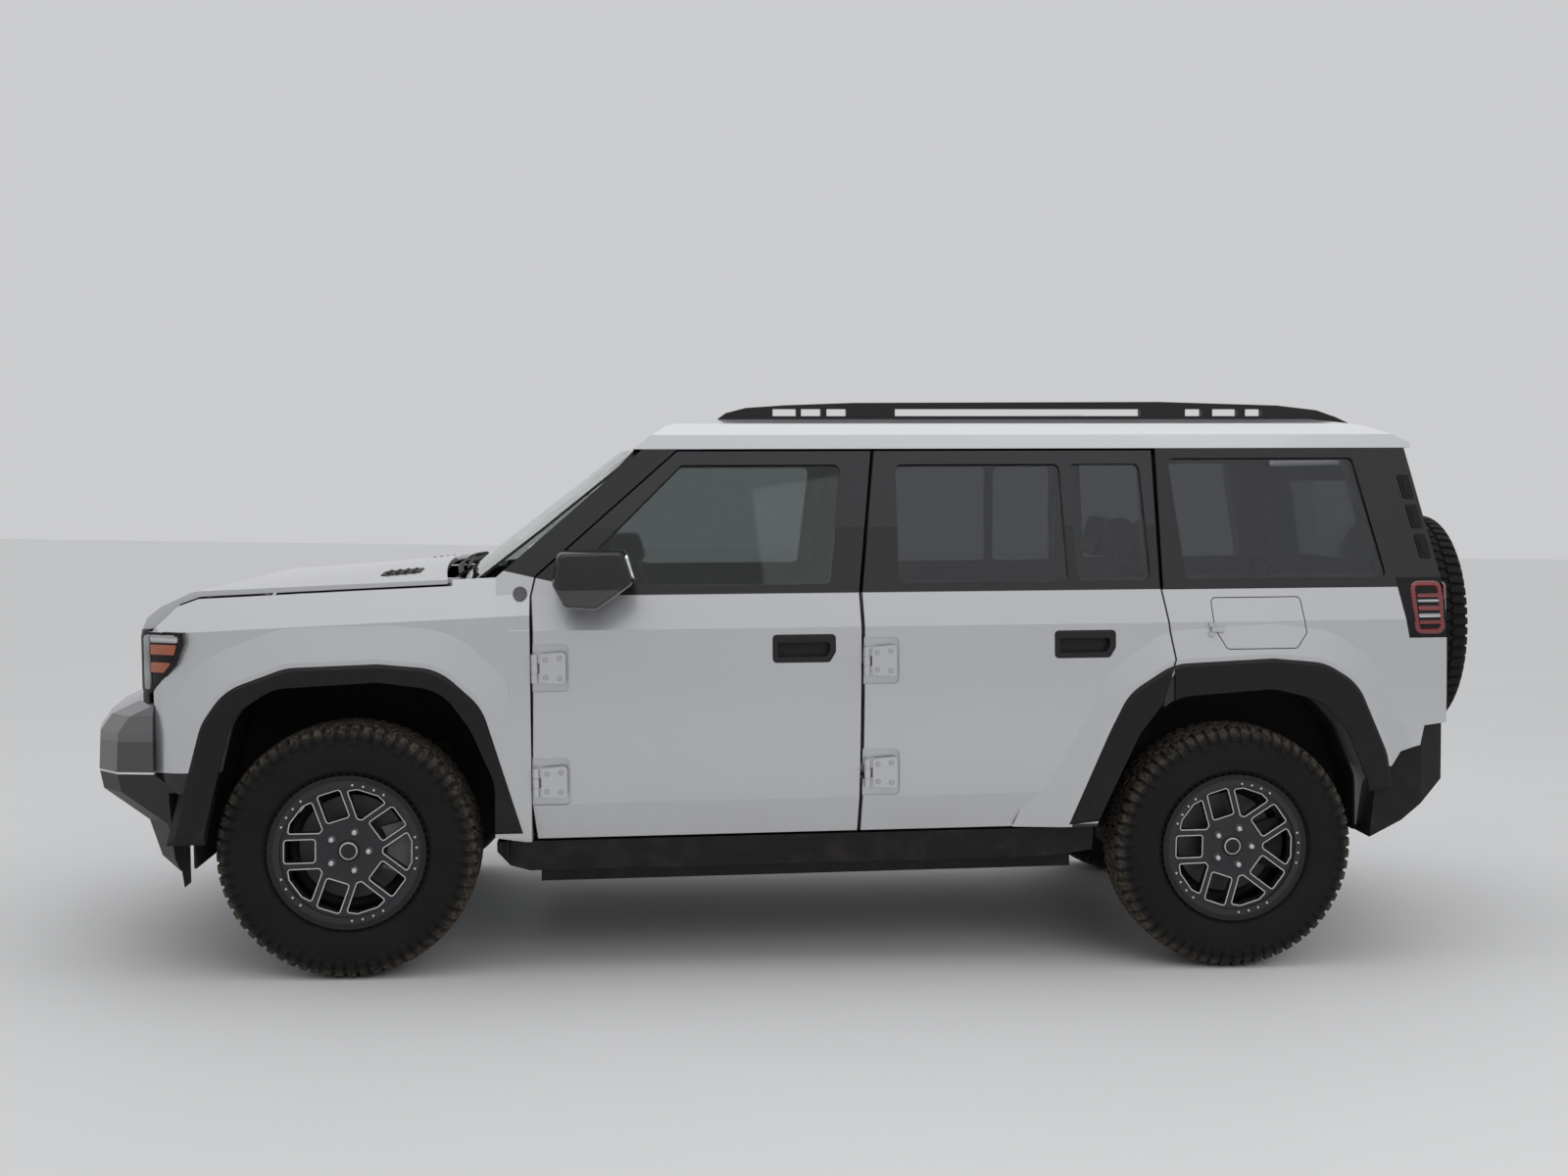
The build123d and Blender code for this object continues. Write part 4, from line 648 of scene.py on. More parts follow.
def on_side(points, side):
    """Level body points drawn for the left, mirrored for the right, in the part frame."""
    return stand(np.asarray(points) * (1, 1 if side == "left" else -1, 1))


def drawn_in(outline, laid, levels):
    """Rows of an outline drawn in to its middle by each level's share and lifted by its height, on
    a surface: laid takes the flat points and the lift, and gives level body points."""
    middle = outline.mean(0)
    return [laid(middle + (outline - middle) * share, lift) for share, lift in levels]


def moved_out(points, radius, laid, levels):
    """Rows of a rounded outline moved out by each level's amount and lifted by its height."""
    return [laid(rounded(points, radius, grow), lift) for grow, lift in levels]


def raise_pad(piece, points, radius, laid, levels, side="left"):
    """Adds a pad with rounded corners that stands on a surface."""
    return piece.grid(on_side(drawn_in(rounded(points, radius), laid, levels), side), around=True)


def raise_ring(piece, points, radius, laid, levels, side="left"):
    """Adds a ring with rounded corners that stands on a surface."""
    return piece.grid(on_side(moved_out(points, radius, laid, levels), side), around=True)


def domed(height, sunk=0.004):
    """Levels of a pad with a rounded edge and a filled top."""
    return ((1.0, -sunk), (1.0, height * 0.6), (0.985, height), (0.7, height), (0.35, height), (0.0, height))


def lens(name, colour, rib=900.0):
    """Glossy lamp plastic, its colour broken by fine moulded ribs."""
    finish = Finish(name, colour, 0.08, Coat_Weight=1.0, Coat_Roughness=0.02)
    ribs = (finish.place.parts()[2] * rib).wave()
    dark = tuple(0.55 * part for part in colour[:3]) + (1,)
    finish.set("Base Color", ribs.mix(dark, colour))
    finish.set("Roughness", 0.1 + ribs * 0.08)
    finish.bump(ribs, 0.0006)
    return finish


amber = lens("amber_marker", (0.40, 0.075, 0.009, 1))
pale_strip = lens("light_strip", (0.46, 0.47, 0.48, 1), rib=300.0)
clear_cover = lens("lamp_cover", (0.22, 0.225, 0.23, 1), rib=60.0)
rubber_frame = moulded("lamp_frame", grey(0.01), 0.35, 700.0, 0.0001, 0)
for side in SIDES:
    rim = raise_ring(Piece(), LAMP_FRAME, 0.02, on_corner, FRAME_LEVELS, side)
    rim.make(f"headlamp_frame_{side}", rubber_frame, "body", "lamp_front")
    markers = raise_pad(Piece(), LAMP_UPPER, 0.004, on_corner, domed(0.005), side)
    raise_pad(markers, LAMP_LOWER, 0.004, on_corner, domed(0.005), side)
    markers.make(f"side_marker_{side}", amber, "body", "lamp_front")
    strip = raise_pad(Piece(), LAMP_STRIP, 0.005, on_corner, domed(0.005), side)
    strip.make(f"light_strip_{side}", pale_strip, "body", "lamp_front")
    cover = raise_pad(Piece(), LAMP_COVER, 0.006, on_corner, domed(0.005), side)
    for unit in LAMP_UNITS:
        raise_pad(cover, unit, 0.014, on_nose, domed(0.004), side)
    cover.make(f"lamp_cover_{side}", clear_cover, "body", "lamp_front")
    brow = raise_pad(Piece(), LAMP_BROW, 0.006, on_nose, domed(0.003), side)
    brow.make(f"day_light_{side}", pale_strip, "body", "lamp_front")


# Grille
# The nose panel between the lamps: a moulded black plate with five horizontal bars standing off it.
GRILLE_BAR = rounded(((-0.004, -0.011), (0.013, -0.006), (0.013, 0.006), (-0.004, 0.011)), 0.003)
GRILLE_HALF, GRILLE_LOW, GRILLE_HIGH = 0.5, 0.935, 1.105
across = np.linspace(-GRILLE_HALF, GRILLE_HALF, 41)
for number, height in enumerate(np.linspace(GRILLE_LOW, GRILLE_HIGH, 5)):
    path = on_nose(np.stack([across, 0 * across + height], -1), 0.0)
    bar = path[:, None] + np.insert(GRILLE_BAR, 1, 0.0, axis=1)
    Piece().tube(stand(bar)).make(f"grille_bar_{number}", moulding, "body", "trim_black")


# Tail lamps
# A gloss black housing at each rear corner with a red ring lens round pale and red bars.
SKIN_HEIGHTS = (0.355, 0.458, 0.576, 1.128, 1.235, 1.702)
SKIN_WIDTHS = (0.893, 0.925, 0.948, 0.950, 0.918, 0.795)
# Ring and bars are given as distance from the rear axle and height.
TAIL_RING = ((-0.612, 1.079), (-0.714, 1.079), (-0.714, 1.254), (-0.604, 1.254))
TAIL_LEVELS = (
    (0.0, -0.002), (0.0, 0.003), (-0.004, 0.006), (-0.014, 0.006), (-0.018, 0.001), (-0.018, -0.002)
)
TAIL_BAR = (REAR_X - 0.700, REAR_X - 0.626)
RED_BARS = ((1.112, 1.124), (1.156, 1.172), (1.200, 1.212))
PALE_BARS = ((1.134, 1.146), (1.184, 1.192))


def skin_width(height):
    """Half width of the side skin: straight runs, with a shallow crown between crease and shoulder."""
    crown = 0.956 - ((height - 0.852) / 0.276) ** 2 * 0.007
    run = np.interp(height, SKIN_HEIGHTS, SKIN_WIDTHS)
    return np.where((height > 0.576) & (height < 1.128), crown, run)


def on_skin(flat, lift):
    """Distance forward and height, laid on the side skin."""
    return np.insert(flat, 1, skin_width(flat[:, 1]) + lift, axis=1)


red_lens = lens("red_lens", (0.19, 0.008, 0.011, 1), rib=500.0)
for side in SIDES:
    red = raise_ring(Piece(), np.add(TAIL_RING, (REAR_X, 0)), 0.026, on_skin, TAIL_LEVELS, side)
    pale = Piece()
    for piece, bars in ((red, RED_BARS), (pale, PALE_BARS)):
        for low, high in bars:
            bar = oblong(*TAIL_BAR, low, high)
            raise_pad(piece, bar, 0.004, on_skin, domed(0.003), side)
    red.make(f"tail_ring_{side}", red_lens, "body", "lamp_rear")
    pale.make(f"tail_bars_{side}", pale_strip, "body", "lamp_rear")


# Door handles
# A black moulded bezel pressed into a seat in each door skin, with a deep finger pan inside it, coloured
# black as painted shade in the recess.
HANDLE_SEAT = ((0.100, 0.046), (-0.104, 0.046), (-0.104, -0.012), (-0.084, -0.045), (0.100, -0.045))
HANDLE_PAN = ((0.083, 0.019), (-0.083, 0.019), (-0.083, -0.008), (-0.071, -0.026), (0.083, -0.026))
SEAT_LEVELS = ((-0.0006, -0.0025), (-0.0006, 0.0008), (-0.003, 0.0028), (-0.010, 0.0028))
PAN_LEVELS = ((1.03, 0.0025), (1.0, 0.0), (0.985, -0.031), (0.6, -0.031), (0.0, -0.031))
HANDLE_SPOTS = {"front": (-0.014, 1.060), "rear": (REAR_X + 0.511, 1.061)}
handle_black_and_shade = moulded("handle_plastic_and_shade", grey(0.016, 0.017), 0.3, 900.0, 0.0001, 0)
for side in SIDES:
    for door, spot in HANDLE_SPOTS.items():
        seat = moved_out(np.add(HANDLE_SEAT, spot), 0.014, on_skin, SEAT_LEVELS)
        # Painted shade: the finger pan is black for the shade in the handle recess.
        pan = drawn_in(rounded(np.add(HANDLE_PAN, spot), 0.010), on_skin, PAN_LEVELS)
        handle = Piece().grid(on_side(seat + pan, side), around=True)
        handle.make(f"{door}_handle_{side}", handle_black_and_shade, f"{door}_door_{side}", "trim_black")


# Hinge plates
# Painted steel plates bolted over the outside hinges of all four doors.
HINGE_PLATE = ((-0.098, -0.052), (-0.016, -0.046), (-0.016, 0.046), (-0.098, 0.052))
HINGE_BOLTS = ((-0.034, 0.028), (-0.034, -0.028), (-0.078, 0.032), (-0.078, -0.032))
BOLT_LEVELS = ((1.0, 0.004), (1.0, 0.008), (0.85, 0.0105), (0.45, 0.0112), (0.0, 0.0112))
BOLT_HALF, PLATE_WIDTH = 0.008, 0.964
HINGE_SPOTS = {
    "front": ((FRONT_X - 0.590, 0.648), (FRONT_X - 0.590, 1.010)),
    "rear": ((-0.216, 0.656), (-0.216, 1.018)),
}


def side_face(heights, widths, way=1):
    """A surface of distance forward and height, its distance to the left straight between the given
    heights and level beyond them. It lifts outwards, or inwards where way is -1."""
    def laid(flat, lift):
        return np.insert(flat, 1, np.interp(flat[:, 1], heights, widths) + way * lift, axis=1)

    return laid


def square(half, x0, z0):
    """The corners of a square about a point."""
    return oblong(x0 - half, x0 + half, z0 - half, z0 + half)


bolt_steel = Finish("bolt_steel", grey(0.45, 0.46), 0.35, 0.8)
bolt_steel.set("Roughness", 0.28 + bolt_steel.place.noise(800.0, 2.0) * 0.2)
plate_face = side_face((0.0,), (PLATE_WIDTH,))
for side in SIDES:
    for door, spots in HINGE_SPOTS.items():
        plates, bolts = Piece(), Piece()
        for spot in spots:
            raise_pad(plates, np.add(HINGE_PLATE, spot), 0.012, plate_face, domed(0.006, 0.012), side)
            for x0, z0 in np.add(HINGE_BOLTS, spot):
                raise_pad(bolts, square(BOLT_HALF, x0, z0), 0.0079, plate_face, BOLT_LEVELS, side)
        plates.make(f"{door}_hinge_plates_{side}", silver, f"{door}_door_{side}", "body_paint")
        bolts.make(f"{door}_hinge_bolts_{side}", bolt_steel, f"{door}_door_{side}", "shaft_steel")


# Door mirrors
# A gloss black shell on a short arm from the door's corner, silvered glass in its back face.
MIRROR_SHELL = (
    (0.772, 1.280), (0.755, 1.383), (0.545, 1.387), (0.514, 1.285), (0.632, 1.200), (0.736, 1.206)
)
MIRROR_LEVELS = (
    # share of the outline, distance to the left
    (0.0, 0.968), (0.55, 0.968), (0.86, 0.970), (0.96, 0.978), (1.0, 0.995), (1.0, 1.075),
    (0.975, 1.104), (0.93, 1.120), (0.84, 1.128), (0.6, 1.130), (0.0, 1.130),
)
MIRROR_ARM = ((0.734, 1.212), (0.642, 1.200), (0.620, 1.258), (0.748, 1.258))
ARM_WIDTHS = (0.905, 0.930, 0.960, 0.990, 1.010)
MIRROR_GLASS = oblong(0.992, 1.112, 1.297, 1.372)
shell_black = Finish("mirror_shell", grey(0.012, 0.013), 0.08)
under = 1 - level_place(shell_black.place)[2].step(1.262, 1.266)
shell_black.set("Roughness", 0.07 + shell_black.place.noise(6.0, 3.0) * 0.06)
shell_black.set("Base Color", under.mix(grey(0.010, 0.011), grey(0.045, 0.046)))
mirror_silver = Finish("mirror_silver", (0.85, 0.86, 0.87, 1), 0.02, 1.0)
mirror_silver.set("Roughness", 0.015 + mirror_silver.place.noise(10.0, 2.0) * 0.02)


def end_face(heights, runs):
    """A surface of distance to the left and height, its distance forward straight between the given
    heights and level beyond them. It lifts backwards."""
    def laid(flat, lift):
        return np.insert(flat, 0, np.interp(flat[:, 1], heights, runs) - lift, axis=1)

    return laid


mirror_back = end_face((1.285, 1.385), (0.514, 0.5444))
arm = rounded(MIRROR_ARM, 0.016)
for side in SIDES:
    rows = drawn_in(rounded(MIRROR_SHELL, 0.022, count=8), side_face((0.0,), (0.0,)), MIRROR_LEVELS)
    shell = Piece().grid(on_side(rows, side), around=True)
    shell.tube(on_side([np.insert(arm, 1, width, axis=1) for width in ARM_WIDTHS], side))
    made = shell.make(f"mirror_shell_{side}", shell_black, f"front_door_{side}", "trim_black", 0.5)
    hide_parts(f"mirror_{side}")
    glass = raise_pad(Piece(), MIRROR_GLASS, 0.016, mirror_back, domed(0.0015, 0.006), side)
    glass.make(f"mirror_glass_{side}", mirror_silver, f"front_door_{side}", "trim_black")


# Round cover
# A small plain disc pressed into each fender behind the wheel.
COVER_SPOT, COVER_RADIUS = (FRONT_X - 0.545, 1.245), 0.022
COVER_LEVELS = ((1.0, -0.012), (1.0, 0.004), (0.94, 0.006), (0.86, 0.0045), (0.4, 0.0045), (0.0, 0.0045))
fender_skin = side_face((1.178, 1.300), (0.948, 0.890))
disc_grey = moulded("disc_grey", grey(0.10, 0.105), 0.35, 900.0, 0.0001, 0)
angle = np.arange(40) * 2 * math.pi / 40
disc = COVER_SPOT + COVER_RADIUS * np.stack([np.cos(angle), np.sin(angle)], -1)
for side in SIDES:
    cover = Piece().grid(on_side(drawn_in(disc, fender_skin, COVER_LEVELS), side), around=True)
    cover.make(f"round_cover_{side}", disc_grey, "body", "trim_black")


# Charge socket
# A black moulded plate with a round collar and nine contact pins, screwed to the pocket's floor
# behind the flap.
SOCKET_X, SOCKET_WIDTH, SOCKET_HEIGHT = -1.515, 0.8895, 1.125
COLLAR_LEVELS = (
    (0.0, -0.002), (0.0, 0.016), (-0.002, 0.018), (-0.006, 0.018), (-0.008, 0.016), (-0.008, 0.003)
)
PIN_CIRCLE = 0.018
pocket_floor = side_face((0.0,), (SOCKET_WIDTH,))
socket = raise_pad(Piece(), square(0.050, SOCKET_X, SOCKET_HEIGHT), 0.012, pocket_floor, domed(0.004))
raise_ring(socket, square(0.038, SOCKET_X, SOCKET_HEIGHT), 0.0375, pocket_floor, COLLAR_LEVELS)
for turn in np.arange(6) * math.pi / 3:
    x0, z0 = SOCKET_X + PIN_CIRCLE * math.cos(turn), SOCKET_HEIGHT + PIN_CIRCLE * math.sin(turn)
    raise_pad(socket, square(0.004, x0, z0), 0.0039, pocket_floor, domed(0.013))
for off in (0.0, -0.008, 0.008):
    pin = square(0.003, SOCKET_X + off, SOCKET_HEIGHT)
    raise_pad(socket, pin, 0.0029, pocket_floor, domed(0.012))
socket.make("charge_socket", handle_black_and_shade, "body", "trim_black")


# Brake shields
# A pressed steel shield behind each brake disc, bolted to the hub carrier.
SHIELD = (
    # radius, distance out from the wheel's middle
    (0.072, -0.040), (0.080, -0.034), (0.180, -0.030), (0.194, -0.022), (0.196, -0.012),
    (0.198, -0.012), (0.198, -0.024), (0.184, -0.034), (0.080, -0.038),
)
shield_steel = moulded("shield_steel", grey(0.018), 0.6, 300.0, 0.0003)
for end, side, name, _ in WHEEL_SPOTS[:4]:
    body = f"front_knuckle_{side}" if end == "front" else "body"
    shield = Piece().grid(at_wheel(spun(SHIELD, 72), end, side), around=True, along=True)
    shield.make(f"brake_shield_{name}", shield_steel, body, "cast_parts")


# Wipers
# Two black steel arms on pivots in the cowl, carrying rubber blades parked at the foot of the screen.
SCREEN_OUT, SCREEN_UP = np.array((0.611, 0, 0.792)), np.array((-0.792, 0, 0.611))
SCREEN_FOOT, SCREEN_BOW, SCREEN_HALF, SCREEN_LOW = FRONT_X - 0.372, 0.1, 0.8, 1.266
SCREEN_RAKE = 520 / 401
BLADE = rounded(((-0.006, -0.009), (0.006, -0.009), (0.009, 0.004), (-0.009, 0.004)), 0.002)
ARM = rounded(oblong(-0.009, 0.009, -0.004, 0.005), 0.002)


def on_screen(side, rise, lift):
    """Distance to the left, rise up the screen and height off it, on the bowed leaning glass."""
    foot = SCREEN_FOOT + SCREEN_BOW * (1 - (side / SCREEN_HALF) ** 2)
    return np.stack([foot - rise * SCREEN_RAKE, side, SCREEN_LOW + rise], -1) + lift[:, None] * SCREEN_OUT


def swept(path, section):
    """A section carried along a path that runs mostly sideways, standing square to the glass."""
    return stand(path[:, None] + section[None, :, :1] * SCREEN_UP + section[None, :, 1:] * SCREEN_OUT)


t = np.linspace(0, 1, 31)
for number, start in enumerate((0.66, 0.02)):
    blade_path = on_screen(start - 0.06 - 0.52 * t, 0.034 + 0.012 * t, 0 * t + 0.020)
    arm_path = on_screen(start - 0.34 * t, 0.012 + 0.030 * t, 0.026 + 0.012 * np.sin(math.pi * t))
    wiper = Piece().tube(swept(blade_path, BLADE)).tube(swept(arm_path, ARM))
    wiper.make(f"wiper_{number}", moulding, "body", "trim_black")


# Hood vents
# Black moulded louvres let into the hood's top near its rear corners.
VENT = ((1.220, 0.530), (1.345, 0.560), (1.345, 0.690), (1.220, 0.660))
VENT_SKEW, FIN_DEPTH, FIN_LENGTH = 0.24, 0.009, 0.096
HOOD_SPOT, HOOD_HEIGHT, HOOD_FALLS = (1.2057, 0.6), 1.3084, (0.061, 0.064)


def hood_top(flat, lift):
    """Distance forward and to the left, laid on the hood, which falls evenly ahead and outwards."""
    return np.insert(flat, 2, HOOD_HEIGHT - (flat - HOOD_SPOT) @ HOOD_FALLS + lift, axis=1)


for side in SIDES:
    vent = raise_pad(Piece(), VENT, 0.014, hood_top, domed(0.0025), side)
    for x0 in np.linspace(1.240, 1.318, 4):
        y0 = 0.548 + (x0 - VENT[0][0]) * VENT_SKEW
        fin = oblong(x0, x0 + FIN_DEPTH, y0, y0 + FIN_LENGTH)
        raise_pad(vent, fin, 0.003, hood_top, domed(0.007), side)
    vent.make(f"hood_vent_{side}", moulding, "hood", "trim_black")


# Rear pillar fins
# Three black moulded fins clipped to each rear pillar, above the lamp.
BACK_BELT, BACK_TOP, BACK_X, TOP_X = 1.235, 1.702, -2.1646, -2.0686
BACK_LEAN = (TOP_X - BACK_X) / (BACK_TOP - BACK_BELT)
PILLAR_HEIGHTS, PILLAR_WIDTHS = (1.300, 1.600), (0.9009, 0.8219)


def on_pillar(flat, lift):
    """Distance ahead of the leaning rear edge and height, laid on the pillar's outer face."""
    ahead, height = flat.T
    edge = BACK_X + BACK_LEAN * (height - BACK_BELT)
    width = np.interp(height, PILLAR_HEIGHTS, PILLAR_WIDTHS) + lift
    return np.stack([edge + ahead, width, height], -1)


for side in SIDES:
    fins = Piece()
    for low in (1.330, 1.430, 1.530):
        raise_pad(fins, oblong(0.014, 0.052, low, low + 0.080), 0.008, on_pillar, domed(0.005), side)
        rib = oblong(0.024, 0.042, low + 0.012, low + 0.068)
        raise_pad(fins, rib, 0.005, on_pillar, domed(0.008), side)
    fins.make(f"pillar_fins_{side}", moulding, "body", "trim_black")


# Rear face
# Lamp lenses on the back of the lamps, reflectors in the bumper, a brake lamp over the glass and a
# handle on the gate's free edge. Outlines are distance to the left and height.
BACK_RING = ((0.858, 1.082), (0.938, 1.082), (0.926, 1.250), (0.858, 1.250))
RING_LEVELS = (
    (0.0, -0.004), (0.0, 0.003), (-0.004, 0.006), (-0.012, 0.006), (-0.016, 0.001), (-0.016, -0.004)
)
REFLECTOR = oblong(0.60, 0.76, 0.640, 0.668)
HIGH_LAMP = oblong(-0.16, 0.16, 1.640, 1.658)
GATE_GRIP, GATE_FINGER = oblong(0.610, 0.700, 0.985, 1.045), oblong(0.624, 0.686, 0.995, 1.026)


on_gate = end_face((BACK_BELT, BACK_TOP), (BACK_X, TOP_X))
on_rear_bumper = end_face((0.60, 0.70, 0.75), (-2.1956, -2.2016, -2.1903))
for side in SIDES:
    back = raise_ring(Piece(), BACK_RING, 0.014, on_gate, RING_LEVELS, side)
    for low in (1.105, 1.145, 1.185):
        bar = ((0.878, low), (0.918, low), (0.916, low + 0.022), (0.878, low + 0.022))
        raise_pad(back, bar, 0.004, on_gate, domed(0.004), side)
    raise_pad(back, REFLECTOR, 0.008, on_rear_bumper, domed(0.005), side)
    back.make(f"rear_lenses_{side}", red_lens, "body", "lamp_rear")
high_lamp = raise_pad(Piece(), HIGH_LAMP, 0.006, on_gate, domed(0.005))
high_lamp.make("high_brake_lamp", red_lens, "tailgate", "lamp_rear")
gate_handle = raise_pad(Piece(), GATE_GRIP, 0.012, on_gate, domed(0.008))
raise_pad(gate_handle, GATE_FINGER, 0.008, on_gate, domed(0.016))
gate_handle.make("gate_handle", handle_black_and_shade, "tailgate", "trim_black")


# Roof header
# A black moulded bar that closes the roof's rear edge above the gate.
HEADER_HALF = 0.715
HEADER = rounded(((-2.078, 1.6835), (-1.985, 1.6835), (-1.985, 1.712), (-2.072, 1.706)), 0.004)
across = np.linspace(-HEADER_HALF, HEADER_HALF, 9)
header = np.stack([np.insert(HEADER, 1, left, axis=1) for left in across])
Piece().tube(stand(header)).make("roof_header", moulding, "body", "trim_black")


# Dash screen
# A flat glass screen standing on the middle of the moulded dashboard.
SCREEN = oblong(-0.170, 0.170, 1.065, 1.205)
screen_glass = Finish("screen_glass", grey(0.006, 0.008), 0.06, Coat_Weight=1.0)
screen_glass.set("Roughness", 0.05 + screen_glass.place.noise(30.0, 3.0) * 0.06)


dash_face = end_face((1.03, 1.23), (0.602, 0.622))
dash_screen = raise_pad(Piece(), SCREEN, 0.012, dash_face, domed(0.012, 0.012))
dash_screen.make("dash_screen", screen_glass, "body", "cabin_plastic")


# Door trims
# A moulded armrest, a map pocket and a round speaker cover, screwed to each door's dark lining.
LINING_WIDTH = 0.8295
ARM_LEVELS = ((1.0, -0.002), (1.0, 0.028), (0.97, 0.042), (0.90, 0.050), (0.5, 0.051), (0.0, 0.051))
POCKET_LEVELS = ((1.0, -0.002), (1.0, 0.022), (0.98, 0.030), (0.92, 0.030), (0.88, 0.018), (0.0, 0.016))
TRIM_ENDS = {"front": (0.020, 0.500), "rear": (-0.840, -0.370)}
door_lining = side_face((0.0,), (LINING_WIDTH,), -1)
for side in SIDES:
    for door, (back, front) in TRIM_ENDS.items():
        armrest = ((back, 0.872), (front, 0.905), (front, 0.975), (back, 0.942))
        pocket = ((back + 0.02, 0.560), (front - 0.02, 0.560), (front, 0.680), (back, 0.680))
        trim = raise_pad(Piece(), armrest, 0.026, door_lining, ARM_LEVELS, side)
        raise_pad(trim, pocket, 0.030, door_lining, POCKET_LEVELS, side)
        if door == "front":
            speaker = square(0.06, front + 0.050, 0.640)
            raise_pad(trim, speaker, 0.058, door_lining, domed(0.008), side)
        trim.make(f"door_trim_{door}_{side}", cabin, f"{door}_door_{side}", "cabin_plastic")


# Seats
# Foam cushions, backs and head rests covered in dark woven cloth with sewn channels, on moulded
# plastic boxes bolted to the floor. The rear bench is one wide cushion and back with three rests.
FOAM_DRAW, SWELL = 0.014, 0.024
VOXEL, PRESSURE, STEPS_BLOWN = 0.010, 4.0, 20
SEAT_CUSHION = ((-0.240, 0.600), (0.330, 0.600), (0.345, 0.720), (0.300, 0.765), (-0.200, 0.712))
SEAT_BACK = ((-0.110, 0.700), (-0.270, 1.330), (-0.390, 1.310), (-0.240, 0.690))
HEAD_REST = ((-0.270, 1.318), (-0.300, 1.500), (-0.385, 1.490), (-0.360, 1.318))
BENCH_CUSHION = ((0.290, 0.660), (0.830, 0.660), (0.840, 0.735), (0.800, 0.775), (0.320, 0.720))
BENCH_BACK = ((0.390, 0.690), (0.230, 1.300), (0.130, 1.280), (0.250, 0.690))
BENCH_REST = ((0.240, 1.285), (0.215, 1.470), (0.130, 1.460), (0.150, 1.285))
BENCH_SHIFT = (REAR_X, 0.0)


def foam_form(profile, radius, low, high):
    """A profile of forward and height carried across; towards both ends it is drawn in to its middle
    as a superellipse, whose reach and share are cube roots of the sine and cosine of one angle."""
    line = rounded(profile, radius, -FOAM_DRAW, 9)
    middle = line.mean(0)
    angle = np.linspace(-math.pi / 2, math.pi / 2, 41)
    share = np.cos(angle).clip(0) ** (1 / 3)
    across = np.sign(angle) * np.abs(np.sin(angle)) ** (1 / 3)
    flat = middle + share[:, None, None] * (line - middle)
    side = (low + high) / 2 + across[:, None] * ((high - low) / 2 - FOAM_DRAW)
    return np.stack([flat[..., 0], side + 0 * flat[..., 0], flat[..., 1]], -1)


def corners_of(mesh):
    """The mesh's points as rows of three."""
    flat = np.empty(len(mesh.vertices) * 3)
    mesh.vertices.foreach_get("co", flat)
    return flat.reshape(-1, 3)


def evaluated(bag):
    """The bag's mesh with its modifiers worked out."""
    return bpy.data.meshes.new_from_object(bag.evaluated_get(bpy.context.evaluated_depsgraph_get()))


def blown(points):
    """The form remeshed evenly and swelled as a cloth bag under pressure, with no point moving past
    the cap, then subdivided once. Gives its points, outward directions and faces."""
    bag = bpy.data.objects.new("bag", Piece().grid(points, around=True).mesh("bag"))
    bpy.context.scene.collection.objects.link(bag)
    even = bag.modifiers.new("even", "REMESH")
    even.mode, even.voxel_size = "VOXEL", VOXEL
    plain = evaluated(bag)
    bag.modifiers.clear()
    bag.data = plain
    start = corners_of(plain)
    cloth = bag.modifiers.new("cloth", "CLOTH")
    cloth.settings.use_pressure = True
    cloth.settings.uniform_pressure_force = PRESSURE
    cloth.settings.effector_weights.gravity = 0
    cloth.point_cache.frame_end = STEPS_BLOWN
    for step in range(1, STEPS_BLOWN + 1):
        bpy.context.scene.frame_set(step)
    moved = corners_of(evaluated(bag)) - start
    bag.modifiers.clear()
    bpy.context.scene.frame_set(1)
    reach = np.linalg.norm(moved, axis=1, keepdims=True)
    start = start + moved * np.minimum(1, SWELL / np.maximum(reach, 1e-9))
    plain.vertices.foreach_set("co", start.ravel())
    plain.update()
    finer = bag.modifiers.new("finer", "SUBSURF")
    finer.levels = finer.render_levels = 1
    smooth = evaluated(bag)
    way = np.empty(len(smooth.vertices) * 3)
    smooth.vertices.foreach_get("normal", way)
    faces = np.empty(len(smooth.loops), int)
    smooth.loops.foreach_get("vertex_index", faces)
    bpy.data.objects.remove(bag)
    return corners_of(smooth), way.reshape(-1, 3), faces.reshape(-1, 4)


def sewn(points, way, seams, channels, facing):
    """Grooves sunk along the outward direction: at each seam's distance across, and between them at
    even spaces along the facing direction's run. Only the faces turned that way have channels."""
    side = points[:, 1]
    run = points @ np.array((facing[1], 0, -facing[0]))
    shown = np.clip((way @ np.array((facing[0], 0, facing[1])) - 0.4) / 0.3, 0, 1)
    depth = 0 * side
    for seam in seams:
        depth = np.maximum(depth, 0.008 * np.exp(-(((side - seam) / 0.007) ** 2)))
    for low, high in zip(seams[:-1], seams[1:]):
        between = (side > low) & (side < high)
        off = np.abs((run / channels) % 1 - 0.5) * channels
        depth = np.maximum(depth, between * 0.005 * np.exp(-((off / 0.008) ** 2)))
    return points - way * (depth * shown)[:, None]


def upholstered(name, points, faces, replaced=None):
    """A padded piece in seat cloth, standing in the cabin."""
    mesh = bpy.data.meshes.new(name)
    mesh.from_pydata(stand(points), [], faces.tolist())
    mesh.polygons.foreach_set("use_smooth", np.ones(len(mesh.polygons), bool))
    made = placed(mesh, seat_cloth, "body")
    if replaced:
        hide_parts(replaced)
    return made


seat_cloth = Finish("seat_cloth", grey(0.03, 0.032), 0.9, Sheen_Weight=0.25, Sheen_Roughness=0.5)
x, y, z = seat_cloth.place.parts()
warp, weft = y * 2400.0, (x + z) * 2400.0
thread = warp.math("SINE", warp) * weft.math("SINE", weft) * 0.5 + 0.5
worn = thread * 0.7 + seat_cloth.place.noise(9.0, 4.0) * 0.3
seat_cloth.set("Base Color", worn.mix(grey(0.018, 0.020), grey(0.052, 0.056)))
seat_cloth.set("Roughness", 0.78 + thread * 0.16)
seat_cloth.bump(thread, 0.0006)

